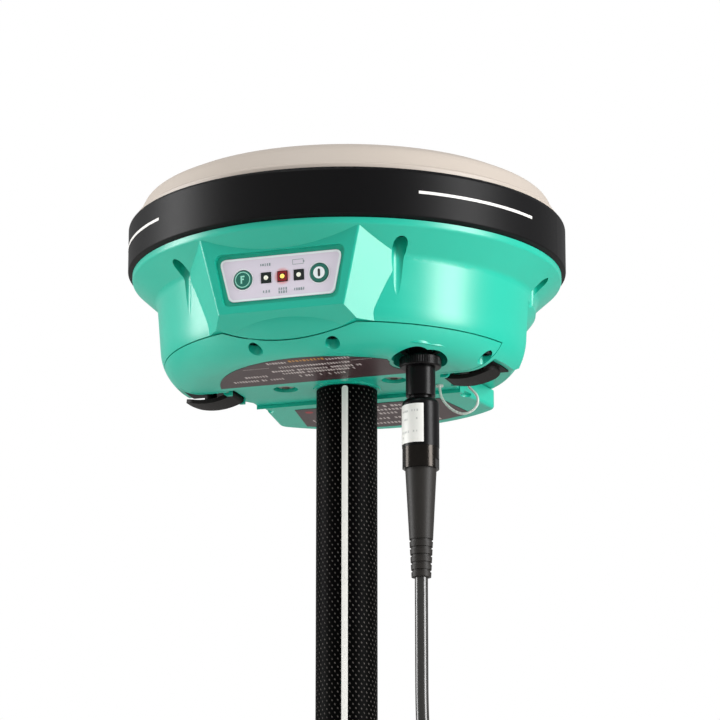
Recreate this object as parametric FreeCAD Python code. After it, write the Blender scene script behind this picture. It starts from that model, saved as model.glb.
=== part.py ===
import FreeCAD, Part
import math
import os

os.makedirs("parts", exist_ok=True)
V = FreeCAD.Vector
UP = V(0, 0, 1)

# A satellite survey receiver on a short carbon pole, with its data cable plugged in.
# It is drawn with z = 0 at the lowest plane of the receiver's case, front towards -Y,
# and save() lifts every piece by the pole's length, so the origin is the pole's foot.

# Pole
pole_length = 300.0
pole_r = 12.8
pole_wall = 1.6
seat_rise = 1.0
stripe_width = 2.6
stripe_thick = 0.15
stripe_turn = 15.5
stripe_round = 1.25
stripe_top_gap = 0.3
stripe_foot_gap = 1.0
top_cap_thick = 0.5
top_cap_round = 0.3
spigot_length = 18.0
foot_height = 34.0
foot_lip = 1.4
foot_round = 0.8
foot_socket_depth = 16.0
thread_r = 7.94
stud_length = 17.0
foot_thread_depth = 15.0
thread_clear = 0.06
push_clear = 0.05

# Case: drum, flared flange, collar, band and radome, each placed from the one below it
drum_foot_r = 76.9
drum_draft = 3.0
drum_top = 37.5
base_round = 18.0
flange_reach = 10.7
flange_rise = 9.7
flange_edge = 2.4
flange_fillet = 4.0
flange_round = 1.5
cavity_fillet = 3.0
band_overhang = 1.9
band_height = 20.9
band_wall = 3.7
band_round = 1.6
band_bevel = 2.4
band_bevel_rise = 1.2
collar_wall = 3.0
wall = 2.6
mid_step = 1.5
front_step_y = -20.0
split_height = 10.2
part_line = 0.45
rear_inset = 2.4
rear_drop = 11.0
rear_slope_rise = 7.0
rear_start_y = 0.5
rear_corner = 16.0
rear_corner_back = 9.0
rear_corner_inset = 4.5
rear_round = 15.0
rear_round_drop = 5.2
rear_pad_half = 22.0
rear_skin_run = 5.5
gasket_thick = 0.6
gasket_inset = 0.4
lip_inset = 0.3
lip_height = 2.0
lip_step = 1.4
lip_bevel = 0.9
radome_draft = 3.3
radome_shoulder_rise = 10.2
radome_round = 6.0
radome_rise = 26.0
radome_wall = 2.5
radome_ledge = 1.5
radome_ledge_rise = 2.0
dome_r = 255.0

# Six case screws in teardrop channels down the drum
screw_angles = (-154.0, -94.0, -35.5, 34.0, 94.0, 154.0)
channel_r = 3.0
channel_reach = 2.2
channel_inset = 1.7
channel_roof = 1.7
case_screw_r = 1.6
case_screw_head_r = 2.6
case_screw_head = 2.4
case_screw_bite = 1.4
case_screw_tip_gap = 1.0
case_key_r = 1.25
case_key_depth = 1.3
screw_post_r = 5.2
screw_post_top = 4.0
screw_foot_inset = 0.6
screw_foot_gap = 0.3
screw_clear = 0.15

# Control panel boss, leaning outwards at the top
panel_drop = 8.5
panel_proud = 2.0
panel_lean = 5.1
boss_half_width = 29.8
boss_flare = 0.237
boss_side_slope = 0.84
boss_depth = 16.0
boss_top_drop = 0.7
boss_fall = 13.7
boss_foot = 14.0
boss_chin_slope = 0.75
boss_chin_run = 20.0
boss_chin_lead = 12.0
boss_round = 1.3
recess_margin = 1.5
recess_taper = 4.0
recess_height = 21.5
recess_depth = 2.0
recess_round = 3.0
overlay_gap = 1.9
overlay_thick = 0.5
overlay_round = 2.6
key_spacing = 32.6
key_r = 3.8
key_thick = 1.2
key_proud = 0.4
key_round = 0.35
key_travel = 0.6
key_stem_r = 1.5
key_stem_proud = 0.8
key_clear = 0.25
switch_gap = 0.1
window_side = 4.2
window_spacing = 7.0
window_shift = 0.6
window_clear = 0.15
window_proud = 0.2
window_back = 0.6
lamp_half = 1.2
lamp_gap = 0.2
panel_floor = 2.2
keypad_bay_depth = 9.0
keypad_bay_side = 2.0
keypad_bay_end = 1.5
keypad_board_thick = 1.2
keypad_board_gap = 0.3
switch_height = 0.7
switch_r = 2.2
chin_r = 76.5
chin_bottom = 5.1
chin_half = 40.0
chin_depth = 21.9

# Front cap, with the cap screws given by their distance in from the drum's foot and their angle
cap_screw_places = ((6.9, -12.5), (6.9, 14.5), (5.7, 71.5))
cap_bore_r = 3.0
cap_screw_r = 1.4
cap_screw_head_r = 2.6
cap_screw_head = 2.0
cap_screw_seat = 7.4
cap_screw_length = 10.0
cap_key_r = 1.2
cap_key_depth = 1.1
cap_tip_gap = 0.1
cap_lug_r = 3.6
cap_post_r = 5.6
cap_post_roof = 1.5
front_label_r = 48.2
front_label_y = -13.5
front_label_chord = -24.5
front_label_thick = 0.2
label_port_gap = 1.6
label_screw_gap = 1.0

# Brass pole insert and its two screws
boss_wall = 2.2
insert_inset = 0.8
insert_length = 23.0
insert_flange_r = 34.0
insert_flange = 3.0
insert_flange_gap = 0.3
insert_bore_depth = 19.0
insert_screw_x = 23.9
insert_screw_y = -9.2
insert_screw_head_r = 4.0
insert_screw_head = 1.4
insert_screw_dome_r = 9.0
insert_screw_r = 2.0
insert_screw_length = 8.0
insert_key_r = 2.0
insert_key_depth = 0.9
insert_bore_r = 5.2
insert_bore_depth_up = 1.8

# Cable port recess and socket
port_inset = 17.95
port_turn = 49.61
port_recess_r = 11.0
port_lobe_r = 8.0
port_lobe_x = -1.7
port_lobe_y = -7.0
port_roof = 9.0
port_roof_wall = 2.4
socket_r = 8.2
socket_height = 14.0
socket_lip = 4.6
socket_bore_r = 5.9
socket_end_gap = 0.5

# Side pockets, their port panels and hinged rubber flaps
pocket_reach = 31.4
pocket_front = -17.7
pocket_flat_y = 3.0
pocket_ceiling = 4.6
pocket_wall = 2.3
side_panel_gap = 0.3
side_panel_inset = 6.9
side_panel_thick = 0.6
side_socket_in = 12.9
side_socket_y = -6.5
side_socket_r = 4.8
side_socket_bore_r = 3.7
side_socket_depth = 8.0
side_socket_height = 11.0
flap_hinge_in = 2.4
flap_hinge_z = 1.1
flap_y = -7.0
flap_width = 13.0
flap_reach = 20.6
flap_sag = 2.3
flap_thick = 1.8
flap_end_rise = 1.2
flap_end_lip = 0.4
flap_end_thin = 0.4
flap_corner = 4.5
flap_knuckle_r = 1.8
flap_pin_r = 0.8
flap_pin_clear = 0.05
flap_stub_r = 2.7
flap_stub_bite = 1.0
flap_ajar = 9.0
ear_thick = 1.5
ear_gap = 0.3
ear_root = 1.0

# Battery bay, door and pack
door_front = 14.0
door_front_gap = 0.8
door_side_inset = 32.9
door_flare = 7.6
door_set_back = 2.5
door_height = 8.0
door_wall = 2.4
door_round = 1.6
door_corner = 5.0
door_gap = 0.3
door_label_front = 9.5
door_label_inset = 6.0
door_label_side = 11.5
notch_back = 11.0
notch_out = 1.5
notch_r = 3.4
notch_depth = 1.3
side_floor = 2.4
bay_side_inset = 8.0
bay_front_inset = 2.9
bay_back_inset = 16.5
bay_wall = 2.2
door_seal_thick = 0.6
seal_gap = 0.1
pack_side_gap = 1.0
pack_front_gap = 1.4
pack_back_gap = 0.8
pack_height = 20.6
pack_headroom = 1.1
pack_seat_gap = 0.3
pack_round = 3.0
pad_thick = 0.9
pad_inset = 6.0
contact_width = 3.0
contact_pitch = 8.0
contact_height = 7.0
contact_drop = 1.0
contact_gap = 0.1
hinge_reach = 1.6
hinge_pin_r = 0.9
hinge_knuckle_r = 1.9
hinge_knuckle_half = 8.0
hinge_ear = 5.0
hinge_clear = 0.05
hinge_side_gap = 0.3

# Electronics
board_inset = 6.9
board_thick = 1.6
board_rise = 2.5
board_post_r = 3.5
board_post_in = 6.0
board_post_front = 7.1
board_post_back = 0.5
board_rib_angle = 62.0
board_rib_bite = 4.0
board_rib_width = 8.0
board_rib_height = 8.0
gnss_can = (42.0, 32.0, 4.5)
gnss_can_y = -30.0
radio_can = (54.0, 36.0, 7.0)
radio_can_y = 30.0
standoff_r = 3.0
standoff_circle_r = 48.0
standoff_angles = (45.0, 135.0, 225.0, 315.0)
antenna_plate_clear = 0.4
antenna_plate_thick = 1.5
antenna_plate_rise = 12.4
patch_lower_r = 42.0
patch_lower = 6.0
patch_upper_r = 33.0
patch_upper = 5.0
feed_r = 1.2
feed_x = 12.0
feed_proud = 0.4

# Cable plug, hanging straight down from its port
sleeve_travel = 1.2
sleeve_gap = 0.1
sleeve_collar_r = 8.5
sleeve_collar_top = 2.0
sleeve_collar = 4.4
sleeve_collar_round = 0.7
sleeve_r = 6.0
sleeve_grip = 11.9
core_r = 4.6
core_top = 11.0
nose_gap = 0.6
barrel_r = 7.55
barrel_length = 20.2
barrel_round = 2.4
nut_r = 7.45
nut_height = 8.7
nut_flat = 7.0
nut_flat_height = 3.9
boot_top_r = 6.35
boot_bottom_r = 3.95
boot_length = 44.2
boot_rib_count = 5
boot_rib_pitch = 3.1
boot_rib_start = 1.8
boot_rib_depth = 0.45
boot_rib_width = 1.1
wrap_height = 16.0
wrap_drop = 1.0
wrap_thick = 0.12
wrap_from = -132.0
wrap_to = 27.0

# Cable, coil and far plug
cable_r = 2.7
cable_straight = 69.3
coil_drop = 57.0
coil_entry_rise = 22.0
coil_turn_r = 29.7
coil_section = 16.2
coil_corner = 2.6
coil_gap = 0.3
tail_drop = 26.0
far_boot_length = 20.0
far_boot_r = 4.6
far_plug_r = 5.6
far_plug_length = 27.0
far_plug_round = 0.6
far_plug_nose_r = 4.5
far_plug_nose = 9.0
far_plug_bore_r = 3.5
strap_width = 16.0
strap_thick = 1.2
strap_gap = 0.3
strap_shoulder = 6.0
strap_corner = 3.0

# Tether loop under the right side, given from the pocket's inner wall, as x, y and height
tether_r = 0.55
tether_pad_r = 1.6
tether_pad = 0.8
tether_front = (-6.1, 4.6)
tether_rear = (5.1, 5.6)
tether_bends = ((-1.3, 5.2, -9.6), (4.5, 5.0, -12.2), (10.1, 5.2, -9.4), (10.5, 5.4, -4.0))
tether_front_low = -3.6
tether_rear_low = 0.6

# Values worked out from the ones above
drum_top_r = drum_foot_r + drum_draft
flange_r = drum_top_r + flange_reach
flange_top = drum_top + flange_rise
band_r = flange_r + band_overhang
band_bottom = flange_top + flange_edge
band_top = band_bottom + band_height
collar_r = band_r - band_wall
collar_inner_r = collar_r - collar_wall
collar_top = band_top - gasket_thick
lip_r = flange_r - lip_inset
radome_foot_r = lip_r - lip_step
radome_shoulder_r = radome_foot_r - radome_draft
radome_top = band_top + radome_rise
flare_angle = math.atan2(flange_rise, flange_reach)
floor_height = mid_step + wall
side_floor_z = mid_step + door_height + door_gap
rear_r = drum_foot_r - rear_inset
rear_top = drum_top - rear_drop
rear_round_z = rear_top - rear_round_drop
screw_circle_r = drum_top_r + channel_inset
channel_top = flange_top - channel_roof
screw_seat = channel_top + case_screw_head
screw_tip = band_top + case_screw_bite
panel_height = drum_top - panel_drop
panel_face_y = drum_top_r + panel_proud
boss_top = flange_top - boss_top_drop
boss_bottom = panel_height - boss_fall
recess_top_half = boss_half_width - recess_margin
recess_bottom_half = recess_top_half - recess_taper
panel_back = recess_depth + panel_floor
window_places = [i * window_spacing + window_shift for i in (-1, 0, 1)]
key_places = (-key_spacing / 2.0, key_spacing / 2.0)
cap_post_top = cap_screw_seat + cap_screw_length + cap_tip_gap + cap_post_roof
insert_r = pole_r - insert_inset
boss_r = insert_r + boss_wall
insert_top = seat_rise + insert_length
insert_seat = mid_step + insert_bore_depth_up
port_x = (drum_foot_r - port_inset) * math.sin(math.radians(port_turn))
port_y = -(drum_foot_r - port_inset) * math.cos(math.radians(port_turn))
pocket_x = drum_foot_r - pocket_reach
pocket_slope = (side_floor_z - pocket_ceiling) / (door_front - pocket_flat_y)
side_socket_x = pocket_x + side_socket_in
flap_hinge_x = pocket_x + flap_hinge_in
door_front_half = drum_foot_r - door_side_inset
door_r = rear_r - door_set_back
notch_y = door_front + notch_back
bay_half = door_front_half - bay_side_inset
bay_front = door_front + bay_front_inset
bay_back = door_r - bay_back_inset
pack_low = floor_height + pad_thick + pack_seat_gap
pack_high = pack_low + pack_height
bay_roof = pack_high + pack_headroom
pack_half = bay_half - pack_side_gap
pack_front = bay_front + pack_front_gap
pack_back = bay_back - pack_back_gap
hinge_y = door_r + hinge_reach
hinge_z = mid_step + door_height - hinge_knuckle_r
board_r = drum_foot_r - board_inset
board_height = drum_top + board_rise
board_top = board_height + board_thick
antenna_plate_r = screw_circle_r - screw_post_r - antenna_plate_clear
antenna_plate_height = band_bottom + antenna_plate_rise
patch_low = antenna_plate_height + antenna_plate_thick
patch_high = patch_low + patch_lower + patch_upper
collar_low = sleeve_collar_top - sleeve_collar
sleeve_bottom = collar_low - sleeve_grip
barrel_top = sleeve_bottom - sleeve_travel - sleeve_gap
barrel_bottom = barrel_top - barrel_length
nut_bottom = barrel_bottom - nut_height
boot_end = nut_bottom - boot_length
cable_drop = boot_end - cable_straight
coil_centre_z = cable_drop - coil_drop
tail_end = coil_centre_z - tail_drop
tube_top = seat_rise - top_cap_thick
foot_z = -pole_length
foot_top = foot_z + foot_height


# Helpers

def save(name, shape):
    shape = shape.copy()
    shape.translate(V(0, 0, pole_length))
    shape.exportStep("parts/" + name + ".step")


def tube(radius, z_low, z_high, x=0.0, y=0.0):
    return Part.makeCylinder(radius, z_high - z_low, V(x, y, z_low))


def ring(outer, inner, z_low, z_high, x=0.0, y=0.0):
    return tube(outer, z_low, z_high, x, y).cut(tube(inner, z_low - 1, z_high + 1, x, y))


def block(x_low, x_high, y_low, y_high, z_low, z_high):
    return Part.makeBox(x_high - x_low, y_high - y_low, z_high - z_low, V(x_low, y_low, z_low))


def polar(radius, angle):
    """A place at an angle counted from the front, positive towards +X."""
    turn = math.radians(angle)
    return radius * math.sin(turn), -radius * math.cos(turn)


def corner_arc(before, corner, after, radius):
    """Start, middle and end of the arc that rounds one corner."""
    back = (before - corner).normalize()
    ahead = (after - corner).normalize()
    half = back.getAngle(ahead) / 2.0
    start = corner + back * (radius / math.tan(half))
    end = corner + ahead * (radius / math.tan(half))
    middle_way = (back + ahead).normalize()
    centre = corner + middle_way * (radius / math.sin(half))
    return start, centre - middle_way * radius, end


def outline(points, to_vector):
    """Closed wire through (a, b, corner radius) points, with round corners."""
    corners = [to_vector(a, b) for a, b, _ in points]
    count = len(points)
    arcs = []
    for i, (_, _, radius) in enumerate(points):
        if radius:
            arcs.append(corner_arc(corners[i - 1], corners[i], corners[(i + 1) % count], radius))
        else:
            arcs.append((corners[i], None, corners[i]))
    edges = []
    for i in range(count):
        start, middle, end = arcs[i]
        if middle is not None:
            edges.append(Part.Arc(start, middle, end).toShape())
        following = arcs[(i + 1) % count][0]
        if end.distanceToPoint(following) > 1e-6:
            edges.append(Part.LineSegment(end, following).toShape())
    return Part.Wire(edges)


def turned(points):
    """Solid of revolution about the receiver's axis from (radius, height, round) points."""
    wire = outline(points, lambda r, z: V(r, 0, z))
    return Part.Face(wire).revolve(V(0, 0, 0), UP, 360)


def plate(points, z_low, z_high):
    wire = outline(points, lambda x, y: V(x, y, z_low))
    return Part.Face(wire).extrude(V(0, 0, z_high - z_low))


def slab(points, y_low, y_high):
    """Outline in X and Z, as thick as from y_low to y_high."""
    wire = outline(points, lambda x, z: V(x, y_low, z))
    return Part.Face(wire).extrude(V(0, y_high - y_low, 0))


def wedge(points, x_low, x_high):
    """Outline in Y and Z, as long as from x_low to x_high."""
    wire = outline(points, lambda y, z: V(x_low, y, z))
    return Part.Face(wire).extrude(V(x_high - x_low, 0, 0))


def mirrored(shape):
    return shape.mirror(V(0, 0, 0), V(1, 0, 0))


def both_sides(shape):
    return shape.fuse(mirrored(shape))


def on_panel(shape):
    """From the panel's own frame, face at y = 0 and centre at the origin, to its place."""
    placed = shape.copy()
    placed.rotate(V(0, 0, 0), V(1, 0, 0), panel_lean)
    placed.translate(V(0, -panel_face_y, panel_height))
    return placed


def cord_tube(points, radius, label):
    """Tube along straight runs joined by the largest arcs that their lengths allow."""
    edges = []
    radii = []
    last = points[0]
    for i in range(1, len(points) - 1):
        before = points[i - 1]
        corner = points[i]
        after = points[i + 1]
        turn = math.pi - (before - corner).getAngle(after - corner)
        shorter = min(before.distanceToPoint(corner), corner.distanceToPoint(after))
        bend = 0.45 * shorter / math.tan(turn / 2.0)
        start, middle, end = corner_arc(before, corner, after, bend)
        edges.append(Part.LineSegment(last, start).toShape())
        edges.append(Part.Arc(start, middle, end).toShape())
        radii.append(bend)
        last = end
    edges.append(Part.LineSegment(last, points[-1]).toShape())
    path = Part.Wire(edges)
    ring_edge = Part.Circle(points[0], points[1] - points[0], radius).toShape()
    pipe = path.makePipeShell([Part.Wire(ring_edge)], True, True)
    expected = math.pi * radius ** 2 * path.Length
    print(label, "length", round(path.Length, 1), "volume ratio", round(pipe.Volume / expected, 4),
          "bend radii", [round(r, 1) for r in radii])
    return pipe


# Case

def case_envelope():
    """Outer skin of drum, flange and collar, closed at the collar's top."""
    return turned([
        (0, 0, 0),
        (drum_foot_r, 0, base_round),
        (drum_top_r, drum_top, flange_fillet),
        (flange_r, flange_top, flange_round),
        (flange_r, band_bottom, 0),
        (collar_r, band_bottom, 0),
        (collar_r, collar_top, 0),
        (0, collar_top, 0)])


def case_cavity():
    """Space inside the walls, from the base floor to above the collar."""
    flare_lift = wall / math.cos(flare_angle)
    flare_start = drum_top + flare_lift - wall * math.tan(flare_angle)
    flare_end = flare_start + (collar_inner_r - drum_top_r + wall) * math.tan(flare_angle)
    return turned([
        (0, floor_height, 0),
        (drum_foot_r - wall, floor_height, base_round - wall - floor_height),
        (drum_top_r - wall, flare_start, cavity_fillet),
        (collar_inner_r, flare_end, 0),
        (collar_inner_r, collar_top + 1, 0),
        (0, collar_top + 1, 0)])


def rear_plan(lead):
    """Plan of the slimmer rear half, with slanting front corners."""
    near = rear_start_y + rear_corner_back - lead
    far = near - rear_corner
    inner = rear_r - rear_corner_inset
    outer = inner + rear_corner
    wide = band_r + rear_corner
    return [
        (-inner, near, 0), (inner, near, 0), (outer, far, 0), (wide, far, 0),
        (wide, wide, 0), (-wide, wide, 0), (-wide, far, 0), (-outer, far, 0)]


def rear_relief():
    """The rear half of the drum is slimmer, under a sloping shoulder and with a round lower edge."""
    outside = band_r
    cut = turned([
        (rear_r, -1, 0),
        (outside, -1, 0),
        (outside, rear_top + rear_slope_rise, 0),
        (drum_top_r, rear_top + rear_slope_rise, 0),
        (rear_r, rear_top, 2.0)])
    cut = cut.common(plate(rear_plan(0), -2, drum_top))
    foot = rear_r - rear_round
    edge = turned([(foot, rear_round_z - rear_round, 0), (outside, rear_round_z - rear_round, 0),
                   (outside, rear_round_z, 0), (foot, rear_round_z, 0)])
    edge = edge.cut(Part.makeTorus(foot, rear_round, V(0, 0, rear_round_z)))
    edge = edge.common(plate(rear_plan(0), -2, drum_top))
    edge = edge.cut(block(-rear_pad_half, rear_pad_half, 0, outside, -2, drum_top))
    return cut.fuse(edge)


def panel_boss():
    """Block that carries the control panel, wider at the top, with slanting cheeks."""
    def level(height):
        half = boss_half_width + boss_flare * height
        back_half = half + boss_side_slope * boss_depth
        return Part.makePolygon([
            V(-half, 0, height), V(half, 0, height), V(back_half, boss_depth, height),
            V(-back_half, boss_depth, height), V(-half, 0, height)])
    low = -boss_fall - boss_foot
    high = boss_top - panel_height
    body = Part.makeLoft([level(low), level(high)], True, True)
    ridges = [e for e in body.Edges if all(abs(v.Y) < 0.01 for v in e.Vertexes)
              and abs(e.Vertexes[0].Z - e.Vertexes[1].Z) > 1.0]
    body = body.makeFillet(boss_round, ridges)
    body = on_panel(body)
    face_foot_y = -panel_face_y + boss_fall * math.tan(math.radians(panel_lean))
    inner_y = face_foot_y + boss_chin_run
    low_z = boss_bottom - 2 * boss_chin_run
    chin = wedge([
        (face_foot_y - boss_chin_lead, boss_bottom, 0),
        (face_foot_y, boss_bottom, 0),
        (inner_y, boss_bottom - boss_chin_run * boss_chin_slope, 0),
        (inner_y, low_z, 0),
        (face_foot_y - boss_chin_lead, low_z, 0)], -band_r, band_r)
    return body.cut(chin)


def pocket_space(grow, low):
    """One side pocket, or the block of walls around it when grown."""
    front = pocket_front - grow
    top = pocket_ceiling + grow
    rise = side_floor_z - pocket_ceiling
    return wedge([
        (front, low, 0),
        (front, top, 0),
        (pocket_flat_y, top, 0),
        (door_front, top + rise, 0),
        (door_front, low, 0)], pocket_x - grow, band_r)


def door_plan(grow):
    """Door outline seen from below, before its round back is cut."""
    half = door_front_half + grow
    spread = math.tan(math.radians(door_flare)) * (door_r - door_front)
    return [
        (-half, door_front - grow, 0),
        (half, door_front - grow, 0),
        (half + spread, door_r, 0),
        (half + spread, band_r, 0),
        (-half - spread, band_r, 0),
        (-half - spread, door_r, 0)]


def cap_screw_centres():
    return [polar(drum_foot_r - inset, angle) for inset, angle in cap_screw_places]


def cap_zone(grow):
    """Plan of the front cap, grown for the lower case's side of the parting line."""
    reach = band_r
    middle = block(-pocket_x - grow, pocket_x + grow, front_step_y - 1, door_front - door_front_gap + grow,
                   -2, split_height + grow)
    front = block(-reach, reach, -reach, front_step_y + grow, -2, split_height + grow)
    zone = front.fuse(middle)
    top = split_height + grow + 1
    chin_centre = V(0, -band_r, chin_bottom + chin_r)
    chin = Part.makeCylinder(chin_r + part_line - grow, band_r, chin_centre, V(0, 1, 0))
    chin = chin.common(block(-chin_half, chin_half, -band_r, chin_depth - drum_foot_r, -5, top))
    lugs = [tube(cap_lug_r + grow, -5, top, x, y) for x, y in cap_screw_centres()]
    return zone.cut(chin.cut(lugs))


def screw_channels():
    """Vertical grooves that run out to a point where the drum tapers."""
    pieces = []
    for angle in screw_angles:
        outer_y = -screw_circle_r - channel_reach
        slot = tube(channel_r, -2, screw_seat, 0, -screw_circle_r)
        outer = tube(channel_r, -2, channel_top, 0, outer_y)
        bridge = block(-channel_r, channel_r, outer_y, -screw_circle_r, -2, channel_top)
        shaft = tube(case_screw_r + screw_clear, channel_top, band_top, 0, -screw_circle_r)
        cut = slot.fuse([outer, bridge, shaft])
        cut.rotate(V(0, 0, 0), UP, angle)
        pieces.append(cut)
    return pieces


def screw_posts(z_low, z_high, radius):
    return [tube(radius, z_low, z_high, *polar(screw_circle_r, angle)) for angle in screw_angles]


def bay_walls():
    return block(-bay_half - bay_wall, bay_half + bay_wall, bay_front - bay_wall, bay_back + bay_wall,
                 floor_height + seal_gap + door_seal_thick, bay_roof + bay_wall)


def bay_space():
    return block(-bay_half, bay_half, bay_front, bay_back, -2, bay_roof)


def panel_recess():
    half = recess_height / 2.0
    return on_panel(slab([
        (-recess_bottom_half, -half, recess_round),
        (recess_bottom_half, -half, recess_round),
        (recess_top_half, half, recess_round),
        (-recess_top_half, half, recess_round)], -5.0, recess_depth))


def panel_openings():
    """Wells and holes for the keys and windows, and the board's bay behind the floor."""
    cuts = []
    for x in key_places:
        well_depth = recess_depth - overlay_thick + key_thick + key_travel
        cuts.append(Part.makeCylinder(key_r + key_clear, well_depth, V(x, 0, 0), V(0, 1, 0)))
        cuts.append(Part.makeCylinder(key_stem_r + key_clear, panel_back + 1, V(x, 0, 0), V(0, 1, 0)))
    half = window_side / 2.0 + window_clear
    for x in window_places:
        cuts.append(block(x - half, x + half, 0, panel_back + 1, -half, half))
    bay_half_width = recess_bottom_half + keypad_bay_side
    bay_half_height = recess_height / 2.0 - keypad_bay_end
    cuts.append(block(-bay_half_width, bay_half_width, panel_back, panel_back + keypad_bay_depth,
                      -bay_half_height, bay_half_height))
    return [on_panel(cut) for cut in cuts]


def port_recess(grow, z_low, z_high):
    main = tube(port_recess_r + grow, z_low, z_high, port_x, port_y)
    lobe = tube(port_lobe_r + grow, z_low, z_high, port_x + port_lobe_x, port_y + port_lobe_y)
    return main.fuse(lobe)


def flap_ears():
    """Two ears on each pocket's inner wall that hold the flap's pin."""
    pieces = []
    low_y = flap_y - flap_width / 2.0 - ear_gap - ear_thick
    high_y = flap_y + flap_width / 2.0 + ear_gap
    for y in (low_y, high_y):
        ear = block(pocket_x - ear_root, flap_hinge_x, y, y + ear_thick,
                    flap_hinge_z - flap_knuckle_r, pocket_ceiling + ear_root)
        nose = Part.makeCylinder(flap_knuckle_r, ear_thick, V(flap_hinge_x, y, flap_hinge_z), V(0, 1, 0))
        web = block(flap_hinge_x - 0.01, flap_hinge_x + flap_knuckle_r, y, y + ear_thick,
                    flap_hinge_z, pocket_ceiling + ear_root)
        pieces.extend([ear, nose, web])
    return pieces


def flap_pin_holes():
    half = flap_width / 2.0 + ear_gap + ear_thick
    return Part.makeCylinder(flap_pin_r, 2 * half, V(flap_hinge_x, flap_y - half, flap_hinge_z), V(0, 1, 0))


def lower_case():
    envelope = case_envelope().fuse(panel_boss())
    envelope = envelope.cut(rear_relief())
    rear_open = block(-band_r, band_r, door_front, band_r, -2, side_floor_z)
    cavity = case_cavity()
    rear_block = block(-band_r, band_r, door_front - wall, band_r, -2, side_floor_z + side_floor)
    pocket_walls = both_sides(pocket_space(pocket_wall, -2))
    rear_skin = turned([
        (rear_r - rear_round, side_floor_z, 0),
        (band_r, side_floor_z, 0),
        (band_r, drum_top, 0),
        (drum_top_r - wall, rear_top + rear_slope_rise + wall, 0),
        (rear_r - wall, rear_top + wall, 0),
        (rear_r - wall, rear_round_z, 0),
        (rear_r - wall - rear_skin_run, side_floor_z + side_floor, 0),
        (rear_r - rear_round, side_floor_z + side_floor, 0)])
    rear_skin = rear_skin.common(plate(rear_plan(wall * math.sqrt(2.0)), 0, band_bottom))
    cavity = cavity.cut([rear_block, pocket_walls, bay_walls(), rear_skin])
    shell = envelope.cut([cavity, rear_open])
    shell = shell.cut(both_sides(pocket_space(0, -2)))
    mid_skin = case_envelope().common(tube(collar_inner_r + 1, 0, band_top))
    mid_skin.translate(V(0, 0, wall / 2.0))
    posts = screw_posts(drum_top - wall, band_top - screw_post_top, screw_post_r)
    for x, y in cap_screw_centres():
        posts.append(tube(cap_post_r, split_height + part_line, cap_post_top, x, y))
    posts = [post.common(mid_skin) for post in posts]
    board_posts = []
    post_x = bay_half - board_post_in
    for x in (-post_x, post_x):
        for y in (bay_front + board_post_front, bay_back + board_post_back):
            board_posts.append(tube(board_post_r, bay_roof, board_height, x, y))
    ribs = []
    for angle in (-board_rib_angle, board_rib_angle):
        rib = block(-board_rib_width / 2.0, board_rib_width / 2.0, -drum_top_r + 1, board_rib_bite - board_r,
                    board_height - board_rib_height, board_height)
        rib.rotate(V(0, 0, 0), UP, angle)
        ribs.append(rib)
    shell = shell.fuse(posts + [bay_walls()] + board_posts + ribs)
    ears = flap_ears()
    shell = shell.fuse(ears + [mirrored(ear) for ear in ears])
    cuts = screw_channels() + panel_openings() + [panel_recess(), bay_space(), cap_zone(part_line)]
    for x, y in cap_screw_centres():
        cuts.append(tube(cap_screw_r, split_height, cap_post_top - cap_post_roof, x, y))
    socket_hole = tube(side_socket_r, pocket_ceiling - 1, pocket_ceiling + pocket_wall + 1,
                       side_socket_x, side_socket_y)
    cuts.extend([socket_hole, mirrored(socket_hole)])
    cuts.extend([flap_pin_holes(), mirrored(flap_pin_holes())])
    cuts.append(tube(insert_flange_r + insert_flange_gap, floor_height,
                     floor_height + insert_flange + insert_flange_gap))
    shell = shell.cut(cuts)
    return shell.fuse(hinge_ears()).cut(hinge_pin_bore()).removeSplitter()


def hinge_ears():
    """Ears under the drum's rear edge that hold the door's pin."""
    pieces = []
    start = hinge_knuckle_half + hinge_side_gap
    for x in (start, -start - hinge_ear):
        ear = Part.makeCylinder(hinge_knuckle_r, hinge_ear, V(x, hinge_y, hinge_z), V(1, 0, 0))
        web = block(x, x + hinge_ear, hinge_y - hinge_knuckle_r, rear_r, hinge_z, side_floor_z + 1.0)
        pieces.extend([ear, web])
    return pieces


def hinge_pin_bore():
    half = hinge_knuckle_half + hinge_side_gap + hinge_ear
    return Part.makeCylinder(hinge_pin_r, 2 * half, V(-half, hinge_y, hinge_z), V(1, 0, 0))


def bottom_cap():
    floor = case_envelope().common(cap_zone(0.0))
    behind = block(-band_r, band_r, front_step_y, band_r, -2, mid_step)
    behind = behind.cut(tube(boss_r, seat_rise, mid_step + 1))
    inside = case_cavity()
    posts = [tube(cap_post_r, floor_height, split_height, x, y) for x, y in cap_screw_centres()]
    body = floor.cut([behind, inside])
    cup = port_recess(port_roof_wall, floor_height, port_roof + port_roof_wall)
    body = body.fuse([post.common(floor) for post in posts] + [cup])
    cuts = [tube(insert_r + push_clear, -2, floor_height + 1)]
    for x, y in cap_screw_centres():
        cuts.append(tube(cap_bore_r, -2, cap_screw_seat, x, y))
        cuts.append(tube(cap_screw_r + screw_clear, 0, split_height + 1, x, y))
    for x in (-insert_screw_x, insert_screw_x):
        cuts.append(tube(insert_bore_r, -2, insert_seat, x, insert_screw_y))
        cuts.append(tube(insert_screw_r + screw_clear, 0, floor_height + 1, x, insert_screw_y))
    cuts.append(port_recess(0, -2, port_roof))
    cuts.append(tube(socket_r, port_roof - 1, port_roof + port_roof_wall + 1, port_x, port_y))
    cuts.append(both_sides(pocket_space(part_line, -2)))
    return body.cut(cuts).removeSplitter()


def main_gasket():
    return ring(collar_r - gasket_inset, collar_inner_r + gasket_inset, collar_top, band_top)


def bumper_band():
    return turned([
        (collar_r, band_bottom, 0),
        (band_r - band_bevel, band_bottom, 0.5),
        (band_r, band_bottom + band_bevel_rise, 0.8),
        (band_r, band_top, band_round),
        (collar_r, band_top, 0)])


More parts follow.
